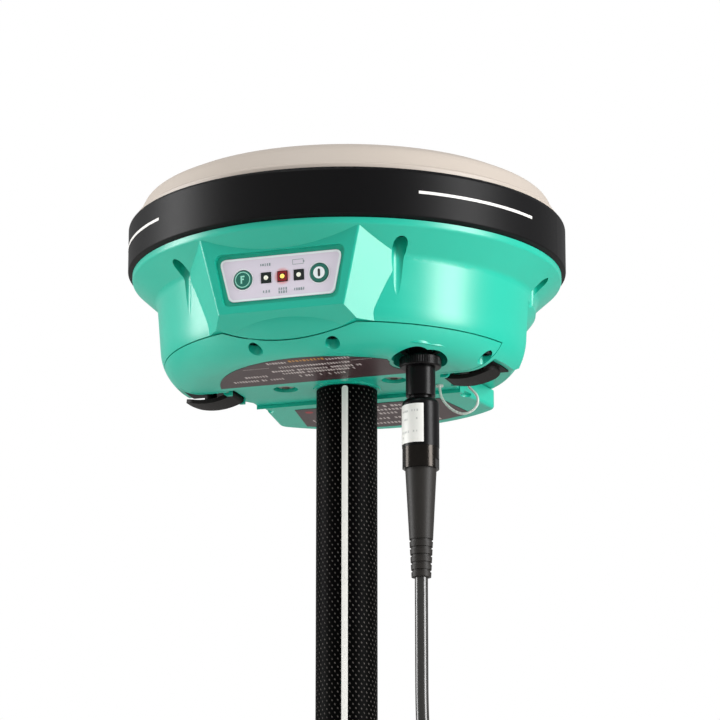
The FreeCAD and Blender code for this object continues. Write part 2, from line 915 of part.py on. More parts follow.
def radome():
    outer = turned([
        (0, band_top, 0),
        (lip_r, band_top, 0.3),
        (lip_r, band_top + lip_height, 0.8),
        (radome_foot_r, band_top + lip_height + lip_bevel, 0.5),
        (radome_shoulder_r, band_top + radome_shoulder_rise, radome_round),
        (0, radome_top + radome_rise, 0)])
    outer = outer.common(Part.makeSphere(dome_r, V(0, 0, radome_top - dome_r)))
    ledge_r = collar_inner_r - radome_ledge
    shoulder_z = band_top + radome_shoulder_rise - radome_wall
    inner = turned([
        (0, band_top - 1, 0),
        (ledge_r, band_top - 1, 0),
        (ledge_r, band_top + lip_height + radome_ledge_rise, 0),
        (radome_shoulder_r - radome_wall, shoulder_z, radome_round - radome_wall),
        (0, radome_top + radome_rise, 0)])
    inner = inner.common(Part.makeSphere(dome_r - radome_wall, V(0, 0, radome_top - dome_r)))
    shell = outer.cut(inner)
    posts = [post.common(outer) for post in screw_posts(band_top, radome_top, screw_post_r)]
    feet = screw_posts(band_top - screw_post_top + screw_foot_gap, band_top, screw_post_r - screw_foot_inset)
    feet = [foot.common(tube(collar_inner_r - screw_foot_gap, 0, radome_top)) for foot in feet]
    bores = [tube(case_screw_r, 0, screw_tip + case_screw_tip_gap, *polar(screw_circle_r, angle))
             for angle in screw_angles]
    return shell.fuse(posts + feet).cut(bores).removeSplitter()


def case_screws():
    pieces = []
    for angle in screw_angles:
        x, y = polar(screw_circle_r, angle)
        head = tube(case_screw_head_r, channel_top, screw_seat, x, y)
        head = head.cut(hex_key(case_key_r, channel_top - 1, channel_top + case_key_depth, x, y))
        pieces.append(head.fuse(tube(case_screw_r, screw_seat, screw_tip, x, y)))
    return Part.makeCompound(pieces)


def hex_key(radius, z_low, z_high, x, y):
    corners = [V(x, y, z_low) + V(*polar(radius, 60 * i), 0) for i in range(6)]
    return Part.Face(Part.makePolygon(corners + corners[:1])).extrude(V(0, 0, z_high - z_low))


def cap_screws():
    pieces = []
    seat = cap_screw_seat
    low = seat - cap_screw_head
    for x, y in cap_screw_centres():
        head = tube(cap_screw_head_r, low, seat, x, y)
        head = head.cut(hex_key(cap_key_r, low - 1, low + cap_key_depth, x, y))
        pieces.append(head.fuse(tube(cap_screw_r, seat, seat + cap_screw_length, x, y)))
    return Part.makeCompound(pieces)


# Control panel

def keypad_overlay():
    half = recess_height / 2.0 - overlay_gap
    bottom = recess_bottom_half - overlay_gap
    top = recess_top_half - overlay_gap
    face = recess_depth - overlay_thick
    sheet = slab([
        (-bottom, -half, overlay_round), (bottom, -half, overlay_round),
        (top, half, overlay_round), (-top, half, overlay_round)], face, recess_depth)
    for x in key_places:
        sheet = sheet.cut(Part.makeCylinder(key_r + key_clear, 10, V(x, -1, 0), V(0, 1, 0)))
    side = window_side / 2.0 + window_clear
    for x in window_places:
        sheet = sheet.cut(block(x - side, x + side, -1, 9, -side, side))
    return on_panel(sheet)


def key(x):
    """Round key with a stem that reaches its switch."""
    face = recess_depth - overlay_thick - key_proud
    cap = Part.makeCylinder(key_r, key_thick, V(x, face, 0), V(0, 1, 0))
    rim = [e for e in cap.Edges if isinstance(e.Curve, Part.Circle) and abs(e.Vertexes[0].Y - face) < 0.01]
    cap = cap.makeFillet(key_round, rim)
    root = face + key_thick / 2.0
    stem = Part.makeCylinder(key_stem_r, panel_back + key_stem_proud - root, V(x, root, 0), V(0, 1, 0))
    return on_panel(cap.fuse(stem))


def led_windows():
    face = recess_depth - overlay_thick - window_proud
    half = window_side / 2.0
    pieces = [on_panel(block(x - half, x + half, face, panel_back + window_back, -half, half))
              for x in window_places]
    return Part.makeCompound(pieces)


def keypad_board():
    """Board with two dome switches and three lamps, pressed against the windows."""
    face = panel_back + key_stem_proud + key_travel + switch_gap + switch_height
    half = recess_bottom_half + keypad_bay_side - keypad_board_gap
    half_height = recess_height / 2.0 - keypad_bay_end - keypad_board_gap
    board = block(-half, half, face, face + keypad_board_thick, -half_height, half_height)
    pieces = []
    for x in key_places:
        pieces.append(Part.makeCylinder(switch_r, switch_height, V(x, face - switch_height, 0), V(0, 1, 0)))
    lamp_face = panel_back + window_back + lamp_gap
    for x in window_places:
        pieces.append(block(x - lamp_half, x + lamp_half, lamp_face, face, -lamp_half, lamp_half))
    return on_panel(board.fuse(pieces))


# Pole insert and ports

def pole_insert():
    body = tube(insert_r, seat_rise, insert_top)
    body = body.fuse(tube(insert_flange_r, floor_height, floor_height + insert_flange))
    body = body.cut(tube(thread_r, -1, seat_rise + insert_bore_depth))
    for x in (-insert_screw_x, insert_screw_x):
        body = body.cut(tube(insert_screw_r, 0, floor_height + insert_flange + 1, x, insert_screw_y))
    rear_y = door_front - wall - insert_flange_gap
    keep = block(-insert_flange_r, insert_flange_r, -insert_flange_r, rear_y, -1, insert_top + 1)
    return body.common(keep)


def insert_screws():
    pieces = []
    low = insert_seat - insert_screw_head
    for x in (-insert_screw_x, insert_screw_x):
        head = tube(insert_screw_head_r, low, insert_seat, x, insert_screw_y)
        dome = Part.makeSphere(insert_screw_dome_r, V(x, insert_screw_y, low + insert_screw_dome_r))
        head = head.common(dome)
        slot = hex_key(insert_key_r, low - 1, low + insert_key_depth, x, insert_screw_y)
        shaft = tube(insert_screw_r, insert_seat, insert_seat + insert_screw_length, x, insert_screw_y)
        pieces.append(head.cut(slot).fuse(shaft))
    return Part.makeCompound(pieces)


def port_socket():
    body = tube(socket_r, socket_lip, socket_lip + socket_height, port_x, port_y)
    return body.cut(tube(socket_bore_r, socket_lip - 1, core_top + socket_end_gap, port_x, port_y))


def side_socket(side):
    """Black port panel in the pocket's ceiling, with a round socket."""
    face = pocket_ceiling - side_panel_thick
    ears = flap_y + flap_width / 2.0 + ear_gap + ear_thick
    panel = block(pocket_x + side_panel_gap, band_r, pocket_front + side_panel_gap,
                  pocket_flat_y - side_panel_gap, face, pocket_ceiling)
    panel = panel.common(tube(drum_foot_r - side_panel_inset, face, pocket_ceiling))
    relief = block(pocket_x, flap_hinge_x + flap_knuckle_r + ear_gap, pocket_front, ears + side_panel_gap,
                   face - 1, pocket_ceiling + 1)
    barrel = tube(side_socket_r, face, face + side_socket_height, side_socket_x, side_socket_y)
    bore = tube(side_socket_bore_r, face - 1, face + side_socket_depth, side_socket_x, side_socket_y)
    body = panel.cut(relief).fuse(barrel).cut(bore)
    return body if side > 0 else mirrored(body)


def port_flap(side):
    """Rubber flap: knuckle at its inner end, curved leaf, thumb end and a plug stub."""
    x = flap_hinge_x
    z = flap_hinge_z
    y_low = flap_y - flap_width / 2.0
    low = [V(x, y_low, z - flap_knuckle_r), V(x + flap_reach * 0.5, y_low, z - flap_sag),
           V(x + flap_reach, y_low, z + flap_end_rise)]
    high = [p + V(0, 0, flap_thick) for p in low]
    high[2] = high[2] - V(flap_end_lip, 0, flap_end_thin)
    leaf = Part.Face(Part.Wire([
        Part.Arc(low[0], low[1], low[2]).toShape(),
        Part.LineSegment(low[2], high[2]).toShape(),
        Part.Arc(high[2], high[1], high[0]).toShape(),
        Part.LineSegment(high[0], low[0]).toShape()]))
    leaf = leaf.extrude(V(0, flap_width, 0))
    corners = [e for e in leaf.Edges if all(v.X > x + flap_reach - 1 for v in e.Vertexes)
               and abs(e.Vertexes[0].Y - e.Vertexes[1].Y) < 0.01]
    leaf = leaf.makeFillet(flap_corner, corners)
    knuckle = Part.makeCylinder(flap_knuckle_r, flap_width, V(x, y_low, z), V(0, 1, 0))
    stub_low = z - flap_sag + flap_thick / 2.0
    stub = tube(flap_stub_r, stub_low, pocket_ceiling + flap_stub_bite, side_socket_x, side_socket_y)
    body = leaf.fuse([knuckle, stub])
    pin = Part.makeCylinder(flap_pin_r + flap_pin_clear, flap_width + 2, V(x, y_low - 1, z), V(0, 1, 0))
    body = body.cut(pin)
    if side > 0:
        return body
    body = mirrored(body)
    body.rotate(V(-x, 0, z), V(0, 1, 0), -flap_ajar)
    return body


def flap_pins():
    return Part.makeCompound([flap_pin_holes(), mirrored(flap_pin_holes())])


# Battery door and pack

def door_block(inset, z_low, z_high):
    body = plate(door_plan(-inset), z_low, z_high)
    return body.common(tube(door_r - inset, z_low - 1, z_high + 1))


def battery_door():
    top = mid_step + door_height
    body = door_block(0, mid_step, top)
    upright = [e for e in body.Edges if abs(e.BoundBox.ZLength - door_height) < 0.01
               and e.BoundBox.YMin > door_r / 2.0]
    body = body.makeFillet(door_corner, upright)
    base = [e for e in body.Edges if e.BoundBox.ZMax < mid_step + 0.01 and e.BoundBox.YMax > door_front + 1]
    body = body.makeFillet(door_round, base)
    hollow = door_block(door_wall, floor_height, top + 1)
    mouth_half = bay_half + bay_wall + 1
    mouth = block(-mouth_half, mouth_half, door_front - 1, bay_back, floor_height, top + 1)
    notch_x = door_front_half + notch_out
    notches = [tube(notch_r, mid_step - 1, mid_step + notch_depth, x, notch_y) for x in (-notch_x, notch_x)]
    body = body.cut([hollow, mouth] + notches)
    arm = block(-hinge_knuckle_half, hinge_knuckle_half, door_r - door_wall, hinge_y,
                hinge_z - hinge_knuckle_r, top)
    knuckle = Part.makeCylinder(hinge_knuckle_r, 2 * hinge_knuckle_half,
                                V(-hinge_knuckle_half, hinge_y, hinge_z), V(1, 0, 0))
    bore = Part.makeCylinder(hinge_pin_r + hinge_clear, 4 * hinge_knuckle_half,
                             V(-2 * hinge_knuckle_half, hinge_y, hinge_z), V(1, 0, 0))
    return body.fuse([arm, knuckle]).cut(bore).removeSplitter()


def door_seal():
    low = floor_height + seal_gap
    high = low + door_seal_thick
    half = bay_half + bay_wall
    outer = block(-half, half, bay_front - bay_wall, bay_back + bay_wall, low, high)
    return outer.cut(block(-bay_half, bay_half, bay_front, bay_back, low - 1, high + 1))


def door_pad():
    half = pack_half - pad_inset
    return block(-half, half, pack_front + pad_inset, pack_back - pad_inset,
                 floor_height, floor_height + pad_thick)


def battery_pack():
    return plate([
        (-pack_half, pack_front, pack_round), (pack_half, pack_front, pack_round),
        (pack_half, pack_back, pack_round), (-pack_half, pack_back, pack_round)], pack_low, pack_high)


def battery_contacts():
    pieces = []
    for i in (-1, 0, 1):
        x = i * contact_pitch
        pieces.append(block(x - contact_width / 2.0, x + contact_width / 2.0,
                            bay_front, pack_front - contact_gap,
                            pack_high - contact_height, pack_high - contact_drop))
    return Part.makeCompound(pieces)


def front_label():
    """Almond sheet that follows the case's flat and round, cut away round the cable port."""
    outer_r = drum_foot_r + front_label_thick
    sheet = turned([
        (0, -front_label_thick, 0),
        (outer_r, -front_label_thick, base_round + front_label_thick),
        (outer_r, base_round, 0),
        (0, base_round, 0)])
    sheet = sheet.cut(case_envelope())
    sheet = sheet.common(tube(front_label_r, -1, base_round / 4.0, 0, front_label_y))
    sheet = sheet.common(block(-band_r, band_r, -band_r, front_label_chord, -1, base_round))
    sheet = sheet.cut(port_recess(label_port_gap, -1, base_round))
    screw_r = cap_bore_r + label_screw_gap
    sheet = sheet.cut([tube(screw_r, -1, base_round, x, y) for x, y in cap_screw_centres()])
    return max(sheet.Solids, key=lambda s: s.Volume)


def door_label():
    low = mid_step - front_label_thick
    body = plate(door_plan(-door_label_side), low, mid_step)
    body = body.common(tube(door_r - door_label_inset, low, mid_step))
    return body.common(block(-band_r, band_r, door_front + door_label_front, band_r, low, mid_step))


# Electronics

def main_board():
    board = tube(board_r, board_height, board_top)
    return board.cut(tube(insert_r, 0, band_top))


def can(size, y):
    length, width, height = size
    half = length / 2.0
    return block(-half, half, y - width / 2.0, y + width / 2.0, board_top, board_top + height)


def standoffs():
    pieces = []
    for angle in standoff_angles:
        x, y = polar(standoff_circle_r, angle)
        pieces.append(tube(standoff_r, board_top, antenna_plate_height, x, y))
    return Part.makeCompound(pieces)


def antenna_plate():
    return tube(antenna_plate_r, antenna_plate_height, patch_low)


def antenna_patch():
    step = patch_low + patch_lower
    body = tube(patch_lower_r, patch_low, step).fuse(tube(patch_upper_r, step, patch_high))
    return body.cut(tube(feed_r, patch_low - 1, patch_high + 1, feed_x, 0))


def antenna_feed():
    return tube(feed_r, patch_low, patch_high + feed_proud, feed_x, 0)


# Cable plug

def plug_body():
    """Plug core in the socket, and the barrel below the release sleeve."""
    barrel = tube(barrel_r, barrel_bottom, barrel_top, port_x, port_y)
    rim = [e for e in barrel.Edges if abs(e.BoundBox.ZMin - barrel_top) < 0.01 and e.BoundBox.ZLength < 0.01]
    barrel = barrel.makeFillet(barrel_round, rim)
    core = tube(core_r, barrel_top - 1, core_top, port_x, port_y)
    nose = tube(socket_bore_r - push_clear, socket_lip + nose_gap, core_top, port_x, port_y)
    return barrel.fuse([core, nose])


def plug_sleeve():
    """Push-pull release sleeve: a knurled collar over a slimmer grip."""
    grip = tube(sleeve_r, sleeve_bottom, collar_low, port_x, port_y)
    collar = tube(sleeve_collar_r, collar_low, sleeve_collar_top, port_x, port_y)
    collar = collar.makeFillet(sleeve_collar_round, [e for e in collar.Edges if e.BoundBox.ZLength < 0.01])
    body = grip.fuse(collar)
    return body.cut(tube(core_r + push_clear, sleeve_bottom - 1, sleeve_collar_top + 1, port_x, port_y))


def plug_nut():
    flat_top = nut_bottom + nut_flat_height
    body = tube(nut_r, nut_bottom, barrel_bottom, port_x, port_y)
    flats = block(-nut_flat, nut_flat, -nut_r, nut_r, nut_bottom - 1, flat_top)
    flats.translate(V(port_x, port_y, 0))
    upper = tube(nut_r, flat_top, barrel_bottom, port_x, port_y)
    return body.common(flats.fuse(upper))


def plug_boot():
    """Tapered strain relief with grooves near its free end."""
    body = Part.makeCone(boot_bottom_r, boot_top_r, boot_length, V(port_x, port_y, boot_end))
    for i in range(boot_rib_count):
        rise = boot_rib_start + i * boot_rib_pitch
        radius = boot_bottom_r + (boot_top_r - boot_bottom_r) * (rise + boot_rib_width / 2.0) / boot_length
        low = boot_end + rise
        groove = ring(boot_top_r + 1, radius - boot_rib_depth, low, low + boot_rib_width, port_x, port_y)
        body = body.cut(groove)
    return body


def cable_wrap():
    """Blank sleeve label round part of the plug's barrel."""
    low = (barrel_top + barrel_bottom - wrap_height) / 2.0 - wrap_drop
    band = ring(barrel_r + wrap_thick, barrel_r, low, low + wrap_height)
    sector = Part.makeCylinder(2 * barrel_r, wrap_height, V(0, 0, low), UP, wrap_to - wrap_from)
    sector.rotate(V(0, 0, 0), UP, wrap_from - 90.0)
    band = band.common(sector)
    band.translate(V(port_x, port_y, 0))
    return band


# Cable, coil, far plug

def coil_frame():
    """Unit vectors out to the cable and across to the coil, and the coil's centre."""
    out = V(port_x, port_y, 0)
    reach = out.Length
    out.normalize()
    across = V(-out.y, out.x, 0)
    offset = pole_r + coil_gap + coil_section / 2.0
    outer_turn = coil_turn_r + coil_section / 2.0 - cable_r
    centre = out * (reach - outer_turn) + across * offset + V(0, 0, coil_centre_z)
    return out, across, centre, outer_turn


def in_coil_frame(shape):
    """From a frame with X out to the cable and Y across to the coil."""
    out, _, _, _ = coil_frame()
    turned_shape = shape.copy()
    turned_shape.rotate(V(0, 0, 0), UP, math.degrees(math.atan2(out.y, out.x)))
    return turned_shape


def cable_route():
    out, across, centre, outer_turn = coil_frame()
    layer = coil_section / 2.0 - cable_r
    entry = centre + out * outer_turn - across * layer
    return [
        V(port_x, port_y, boot_end),
        V(port_x, port_y, cable_drop),
        entry + V(0, 0, coil_entry_rise),
        entry]


def cable():
    return cord_tube(cable_route(), cable_r, "cable")


def cable_coil():
    _, across, centre, _ = coil_frame()
    half = coil_section / 2.0
    ring_solid = turned([
        (coil_turn_r - half, -half, coil_corner), (coil_turn_r + half, -half, coil_corner),
        (coil_turn_r + half, half, coil_corner), (coil_turn_r - half, half, coil_corner)])
    ring_solid.Placement = FreeCAD.Placement(centre, FreeCAD.Rotation(UP, across))
    return ring_solid


def tail_top():
    out, across, centre, outer_turn = coil_frame()
    layer = coil_section / 2.0 - cable_r
    return centre + out * outer_turn + across * layer


def cable_tail():
    top = tail_top()
    return Part.makeCylinder(cable_r, top.z - tail_end, V(top.x, top.y, tail_end))


def far_boot():
    top = tail_top()
    body = Part.makeCone(far_boot_r, boot_bottom_r, far_boot_length, V(0, 0, tail_end - far_boot_length))
    body.translate(V(top.x, top.y, 0))
    return body


def far_plug():
    top = tail_top()
    high = tail_end - far_boot_length
    low = high - far_plug_length
    body = tube(far_plug_r, low + far_plug_nose, high)
    body = body.makeFillet(far_plug_round, [e for e in body.Edges if e.BoundBox.ZLength < 0.01])
    nose = ring(far_plug_nose_r, far_plug_bore_r, low, low + far_plug_nose + 1)
    body = body.fuse(nose)
    body.translate(V(top.x, top.y, 0))
    return body


def coil_strap():
    """Band round the pole and the near side of the coil."""
    out, _, centre, _ = coil_frame()
    middle = V(centre.x, centre.y, 0).dot(out)
    half = coil_section / 2.0
    near = middle - coil_turn_r - half - strap_gap
    far = middle - math.sqrt((coil_turn_r - half) ** 2 - (strap_width / 2.0) ** 2) + strap_gap
    back = pole_r + coil_gap + coil_section + strap_gap
    side = pole_r + strap_gap
    left = min(near, -side)

    def loop(grow, low, high):
        return plate([
            (left - grow, -side - grow, side + grow - 0.4),
            (side + grow, -side - grow, side + grow - 0.2),
            (side + grow, strap_shoulder - 0.9, strap_shoulder),
            (far + grow, back + grow, strap_corner + grow),
            (left - grow, back + grow, strap_corner + grow)], low, high)
    low = coil_centre_z - strap_width / 2.0
    band = loop(strap_thick, low, low + strap_width).cut(loop(0, low - 1, low + strap_width + 1))
    return in_coil_frame(band)


# Pole

def pole_tube():
    return ring(pole_r, pole_r - pole_wall, foot_top - foot_socket_depth, tube_top)


def pole_stripe():
    """Reflective stripe with round ends, laid on the tube."""
    half = stripe_width / 2.0
    low = foot_top + stripe_foot_gap
    high = tube_top - stripe_top_gap
    band = ring(pole_r + stripe_thick, pole_r, low, high)
    strip = slab([
        (-half, low, stripe_round), (half, low, stripe_round),
        (half, high, stripe_round), (-half, high, stripe_round)], -2 * pole_r, 0)
    strip.rotate(V(0, 0, 0), UP, stripe_turn)
    return band.common(strip)


def pole_top():
    """Threaded stud on a plug bonded into the tube's upper end."""
    cap = tube(pole_r, tube_top, seat_rise)
    rim = [e for e in cap.Edges if abs(e.BoundBox.ZMin - seat_rise) < 0.01 and e.BoundBox.ZLength < 0.01]
    cap = cap.makeFillet(top_cap_round, rim)
    spigot = tube(pole_r - pole_wall - push_clear, tube_top - spigot_length, tube_top)
    stud = tube(thread_r - thread_clear, seat_rise - top_cap_thick, seat_rise + stud_length)
    return cap.fuse([spigot, stud])


def pole_foot():
    """Ferrule with the female pole thread in its lower end."""
    body = tube(pole_r + foot_lip, foot_z, foot_top)
    body = body.makeFillet(foot_round, [e for e in body.Edges if e.BoundBox.ZLength < 0.01])
    socket = tube(pole_r, foot_top - foot_socket_depth, foot_top + 1)
    thread = tube(thread_r, foot_z - 1, foot_z + foot_thread_depth)
    return body.cut([socket, thread])


# Tether

def tether_route():
    """Hanging loop between a pad on the cap and a pad in the right pocket."""
    front = V(pocket_x + tether_front[0], tether_front[1], 0)
    rear = V(pocket_x + tether_rear[0], tether_rear[1], 0)
    rear_z = pocket_ceiling + (rear.y - tether_pad_r - pocket_flat_y) * pocket_slope
    bends = [V(pocket_x + x, y, z) for x, y, z in tether_bends]
    return [
        front + V(0, 0, mid_step - tether_pad),
        front + V(0, 0, tether_front_low),
        *bends,
        rear + V(0, 0, tether_rear_low),
        rear + V(0, 0, rear_z - tether_pad)]


def tether():
    return cord_tube(tether_route(), tether_r, "tether")


def tether_pads():
    """Glued anchors at the two ends of the loop."""
    route = tether_route()
    front = tube(tether_pad_r, route[0].z, mid_step, route[0].x, route[0].y)
    rear = tube(tether_pad_r, route[-1].z, side_floor_z, route[-1].x, route[-1].y)
    return Part.makeCompound([front, rear.common(pocket_space(0, -2))])


nodes = {
    "radome": radome,
    "main_gasket": main_gasket,
    "bumper_band": bumper_band,
    "lower_case": lower_case,
    "bottom_cap": bottom_cap,
    "case_screws": case_screws,
    "cap_screws": cap_screws,
    "keypad_overlay": keypad_overlay,
    "function_key": lambda: key(-key_spacing / 2.0),
    "power_key": lambda: key(key_spacing / 2.0),
    "led_windows": led_windows,
    "keypad_board": keypad_board,
    "pole_insert": pole_insert,
    "insert_screws": insert_screws,
    "port_socket": port_socket,
    "side_socket_left": lambda: side_socket(-1),
    "side_socket_right": lambda: side_socket(1),
    "port_flap_left": lambda: port_flap(-1),
    "port_flap_right": lambda: port_flap(1),
    "flap_pins": flap_pins,
    "battery_door": battery_door,
    "door_hinge_pin": hinge_pin_bore,
    "door_seal": door_seal,
    "door_pad": door_pad,
    "battery_pack": battery_pack,
    "battery_contacts": battery_contacts,
    "front_label": front_label,
    "door_label": door_label,
    "main_board": main_board,
    "gnss_module": lambda: can(gnss_can, gnss_can_y),
    "radio_module": lambda: can(radio_can, radio_can_y),
    "board_standoffs": standoffs,
    "antenna_plate": antenna_plate,
    "antenna_patch": antenna_patch,
    "antenna_feed": antenna_feed,
    "plug_body": plug_body,
    "plug_sleeve": plug_sleeve,
    "plug_nut": plug_nut,
    "plug_boot": plug_boot,
    "cable_wrap": cable_wrap,
    "cable": cable,
    "cable_coil": cable_coil,
    "cable_tail": cable_tail,
    "far_boot": far_boot,
    "far_plug": far_plug,
    "coil_strap": coil_strap,
    "pole_tube": pole_tube,
    "pole_stripe": pole_stripe,
    "pole_top": pole_top,
    "pole_foot": pole_foot,
    "tether": tether,
    "tether_pads": tether_pads,
}

for name, make in nodes.items():
    shape = make()
    if not shape.isValid() or shape.Volume <= 0:
        print("CHECK", name, shape.isValid(), shape.Volume)
    if len(shape.Solids) != 1:
        print(name, "has", len(shape.Solids), "solids")
    save(name, shape)
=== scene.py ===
# Survey satellite receiver on its pole: camera, cords, finishes and the small detail on the frame
import math
import bpy
import bmesh
from mathutils import Matrix, Vector


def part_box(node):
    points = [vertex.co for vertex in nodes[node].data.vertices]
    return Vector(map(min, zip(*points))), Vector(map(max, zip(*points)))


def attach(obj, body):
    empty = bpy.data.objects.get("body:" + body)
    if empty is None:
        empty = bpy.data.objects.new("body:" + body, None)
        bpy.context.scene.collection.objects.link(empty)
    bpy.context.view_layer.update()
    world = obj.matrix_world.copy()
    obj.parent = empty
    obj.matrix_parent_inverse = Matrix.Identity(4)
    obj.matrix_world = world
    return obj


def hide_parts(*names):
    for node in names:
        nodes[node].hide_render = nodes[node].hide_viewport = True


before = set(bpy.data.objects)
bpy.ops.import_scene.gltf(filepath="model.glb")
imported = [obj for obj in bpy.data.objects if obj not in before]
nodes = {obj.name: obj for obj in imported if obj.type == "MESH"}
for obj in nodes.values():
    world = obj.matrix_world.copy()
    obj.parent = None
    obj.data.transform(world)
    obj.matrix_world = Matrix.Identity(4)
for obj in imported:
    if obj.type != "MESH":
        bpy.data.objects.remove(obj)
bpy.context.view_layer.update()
mm = 0.001
studTop = 18.0  # the stud's end above the case's lowest plane, in mm
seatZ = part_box("pole_top")[1].z - studTop * mm  # the case's lowest plane
base = seatZ / mm  # the same in mm
print("frame loaded")


def linear(code):  # sRGB hex to linear colour
    parts = [int(code[i:i + 2], 16) / 255 for i in (1, 3, 5)]
    return [c / 12.92 if c <= 0.04045 else ((c + 0.055) / 1.055) ** 2.4 for c in parts] + [1.0]


def addNode(tree, kind, settings=None, links=None):
    node = tree.nodes.new(kind)
    for key, value in (settings or {}).items():
        if isinstance(key, str) and hasattr(node, key):
            setattr(node, key, value)
        else:
            node.inputs[key].default_value = value
    for key, source in (links or {}).items():
        tree.links.new(source, node.inputs[key])
    return node


def startMaterial(name, colour, roughness, **more):
    material = bpy.data.materials.new(name)
    material.use_nodes = True
    shader = material.node_tree.nodes["Principled BSDF"]
    shader.inputs["Base Color"].default_value = linear(colour)
    shader.inputs["Roughness"].default_value = roughness
    for key, value in more.items():
        shader.inputs[key.replace("_", " ")].default_value = value
    return material, material.node_tree, shader


def mottle(tree, shader, size, colourA, colourB):  # soft change of colour over the surface
    place = addNode(tree, "ShaderNodeTexCoord")
    noise = addNode(tree, "ShaderNodeTexNoise", {"Scale": 1 / (size * mm), "Detail": 3.0},
                    {"Vector": place.outputs["Object"]})
    colour = addNode(tree, "ShaderNodeMix", {"data_type": "RGBA", 6: linear(colourA), 7: linear(colourB)},
                     {0: noise.outputs["Fac"]})
    tree.links.new(colour.outputs[2], shader.inputs["Base Color"])


def grain(tree, shader, size, depth, low, high):  # moulded grain: bump, and the roughness that goes with it
    place = addNode(tree, "ShaderNodeTexCoord")
    noise = addNode(tree, "ShaderNodeTexNoise", {"Scale": 1 / (size * mm), "Detail": 2.0},
                    {"Vector": place.outputs["Object"]})
    bump = addNode(tree, "ShaderNodeBump", {"Strength": 1.0, "Distance": depth * mm},
                   {"Height": noise.outputs["Fac"]})
    tree.links.new(bump.outputs["Normal"], shader.inputs["Normal"])
    spread = addNode(tree, "ShaderNodeMapRange", {"To Min": low, "To Max": high},
                     {"Value": noise.outputs["Fac"]})
    tree.links.new(spread.outputs["Result"], shader.inputs["Roughness"])


def makeFinish(name, colour, roughness, patches=None, texture=None, **more):
    material, tree, shader = startMaterial(name, colour, roughness, **more)
    if patches:
        mottle(tree, shader, *patches)
    if texture:
        grain(tree, shader, *texture)
    return material


def newPiece(name, mesh, material, body="receiver", smooth=False):
    piece = bpy.data.objects.new(name, mesh)
    bpy.context.scene.collection.objects.link(piece)
    mesh.materials.clear()
    mesh.materials.append(material)
    if smooth:
        mesh.shade_smooth()
    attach(piece, body)


def dress(material, *names):
    for name in names:
        for slot in nodes[name].material_slots:
            slot.material = material


# the main view: turned to the panel's right, and from below
view = {
    "turn": 19.0, "rise": 14.8, "distance": 1.5, "aimRise": 14.5, "aimSide": 5.5, "lens": 178.35,
    "sensor": 36.0, "near": 0.05}


def makeCamera():
    turn, rise = math.radians(view["turn"]), math.radians(view["rise"])
    side = Vector((math.cos(turn), math.sin(turn), 0))
    aim = Vector((0, 0, seatZ + view["aimRise"] * mm)) + side * view["aimSide"] * mm
    back = Vector((math.sin(turn) * math.cos(rise), -math.cos(turn) * math.cos(rise), -math.sin(rise)))
    data = bpy.data.cameras.new("camera")
    data.lens = view["lens"]
    data.sensor_width = view["sensor"]
    data.clip_start = view["near"]
    camera = bpy.data.objects.new("camera", data)
    camera.location = aim + back * view["distance"]
    camera.rotation_euler = (-back).to_track_quat("-Z", "Y").to_euler()
    bpy.context.scene.collection.objects.link(camera)
    bpy.context.scene.camera = camera


makeCamera()
print("camera placed")

# the data cable: down from the boot, then coiled at the pole, and on to the far plug
cableSizes = {
    "diameter": 5.4, "length": 1.46, "perTurn": 16,
    "coilCentre": (31.91, 0.69, 85.0), "out": (0.76165, -0.64800), "across": (0.64800, 0.76165),
    # each turn's radius and its place across the coil
    "turns": [(35.1, -5.4), (29.7, -5.4), (24.3, -5.4), (24.3, 0.0), (29.7, 0.0), (29.7, 5.4), (35.1, 5.4)],
    "jog": 0.22, "tailTop": 72.0, "tailEnd": 59.0}
cableRoute = [(44.9, -38.2, 211.3), (44.9, -38.2, 180.0), (44.9, -38.2, 158.0), (45.6, -37.4, 139.0),
              (50.4, -31.8, 120.5), (55.14, -26.17, 106.0)]
# the cover's tether: a short loop between its two pads
tetherSizes = {"diameter": 1.1, "length": 0.039}
tetherRoute = [
    (39.4, 4.6, 300.7), (39.4, 4.6, 296.4), (44.2, 5.2, 290.4), (50.0, 5.0, 287.8),
    (55.6, 5.2, 290.6), (56.0, 5.4, 296.0), (50.6, 5.6, 300.6), (50.6, 5.6, 304.27)]


def coilPoints():
    centre = Vector(cableSizes["coilCentre"])
    out = Vector((*cableSizes["out"], 0))
    across = Vector((*cableSizes["across"], 0))
    turns, perTurn, jog = cableSizes["turns"], cableSizes["perTurn"], cableSizes["jog"]
    last = len(turns) - 1
    points = []
    for i in range(len(turns) * perTurn + 1):
        turn = min(i // perTurn, last)
        here, following = turns[turn], turns[min(turn + 1, last)]
        # each turn steps to the next place near its end
        blend = min(max((i / perTurn - turn - 1 + jog) / jog, 0), 1)
        blend = blend * blend * (3 - 2 * blend)
        radius = here[0] + (following[0] - here[0]) * blend
        layer = here[1] + (following[1] - here[1]) * blend
        angle = 2 * math.pi * i / perTurn
        points.append(centre + out * radius * math.cos(angle) + across * layer
                      - Vector((0, 0, 1)) * radius * math.sin(angle))
    return points


def splineCord(name, points, diameter, material):
    curve = bpy.data.curves.new(name, "CURVE")
    curve.dimensions = "3D"
    spline = curve.splines.new("NURBS")
    spline.points.add(len(points) - 1)
    for place, point in zip(spline.points, points):
        place.co = (*(Vector(point) * mm), 1)
    spline.order_u = 3
    spline.use_endpoint_u = True
    curve.bevel_depth = diameter * mm / 2
    curve.bevel_resolution = 4
    curve.resolution_u = 6
    curve.use_fill_caps = True
    piece = bpy.data.objects.new(name, curve)
    curve.materials.append(material)
    bpy.context.scene.collection.objects.link(piece)
    return piece


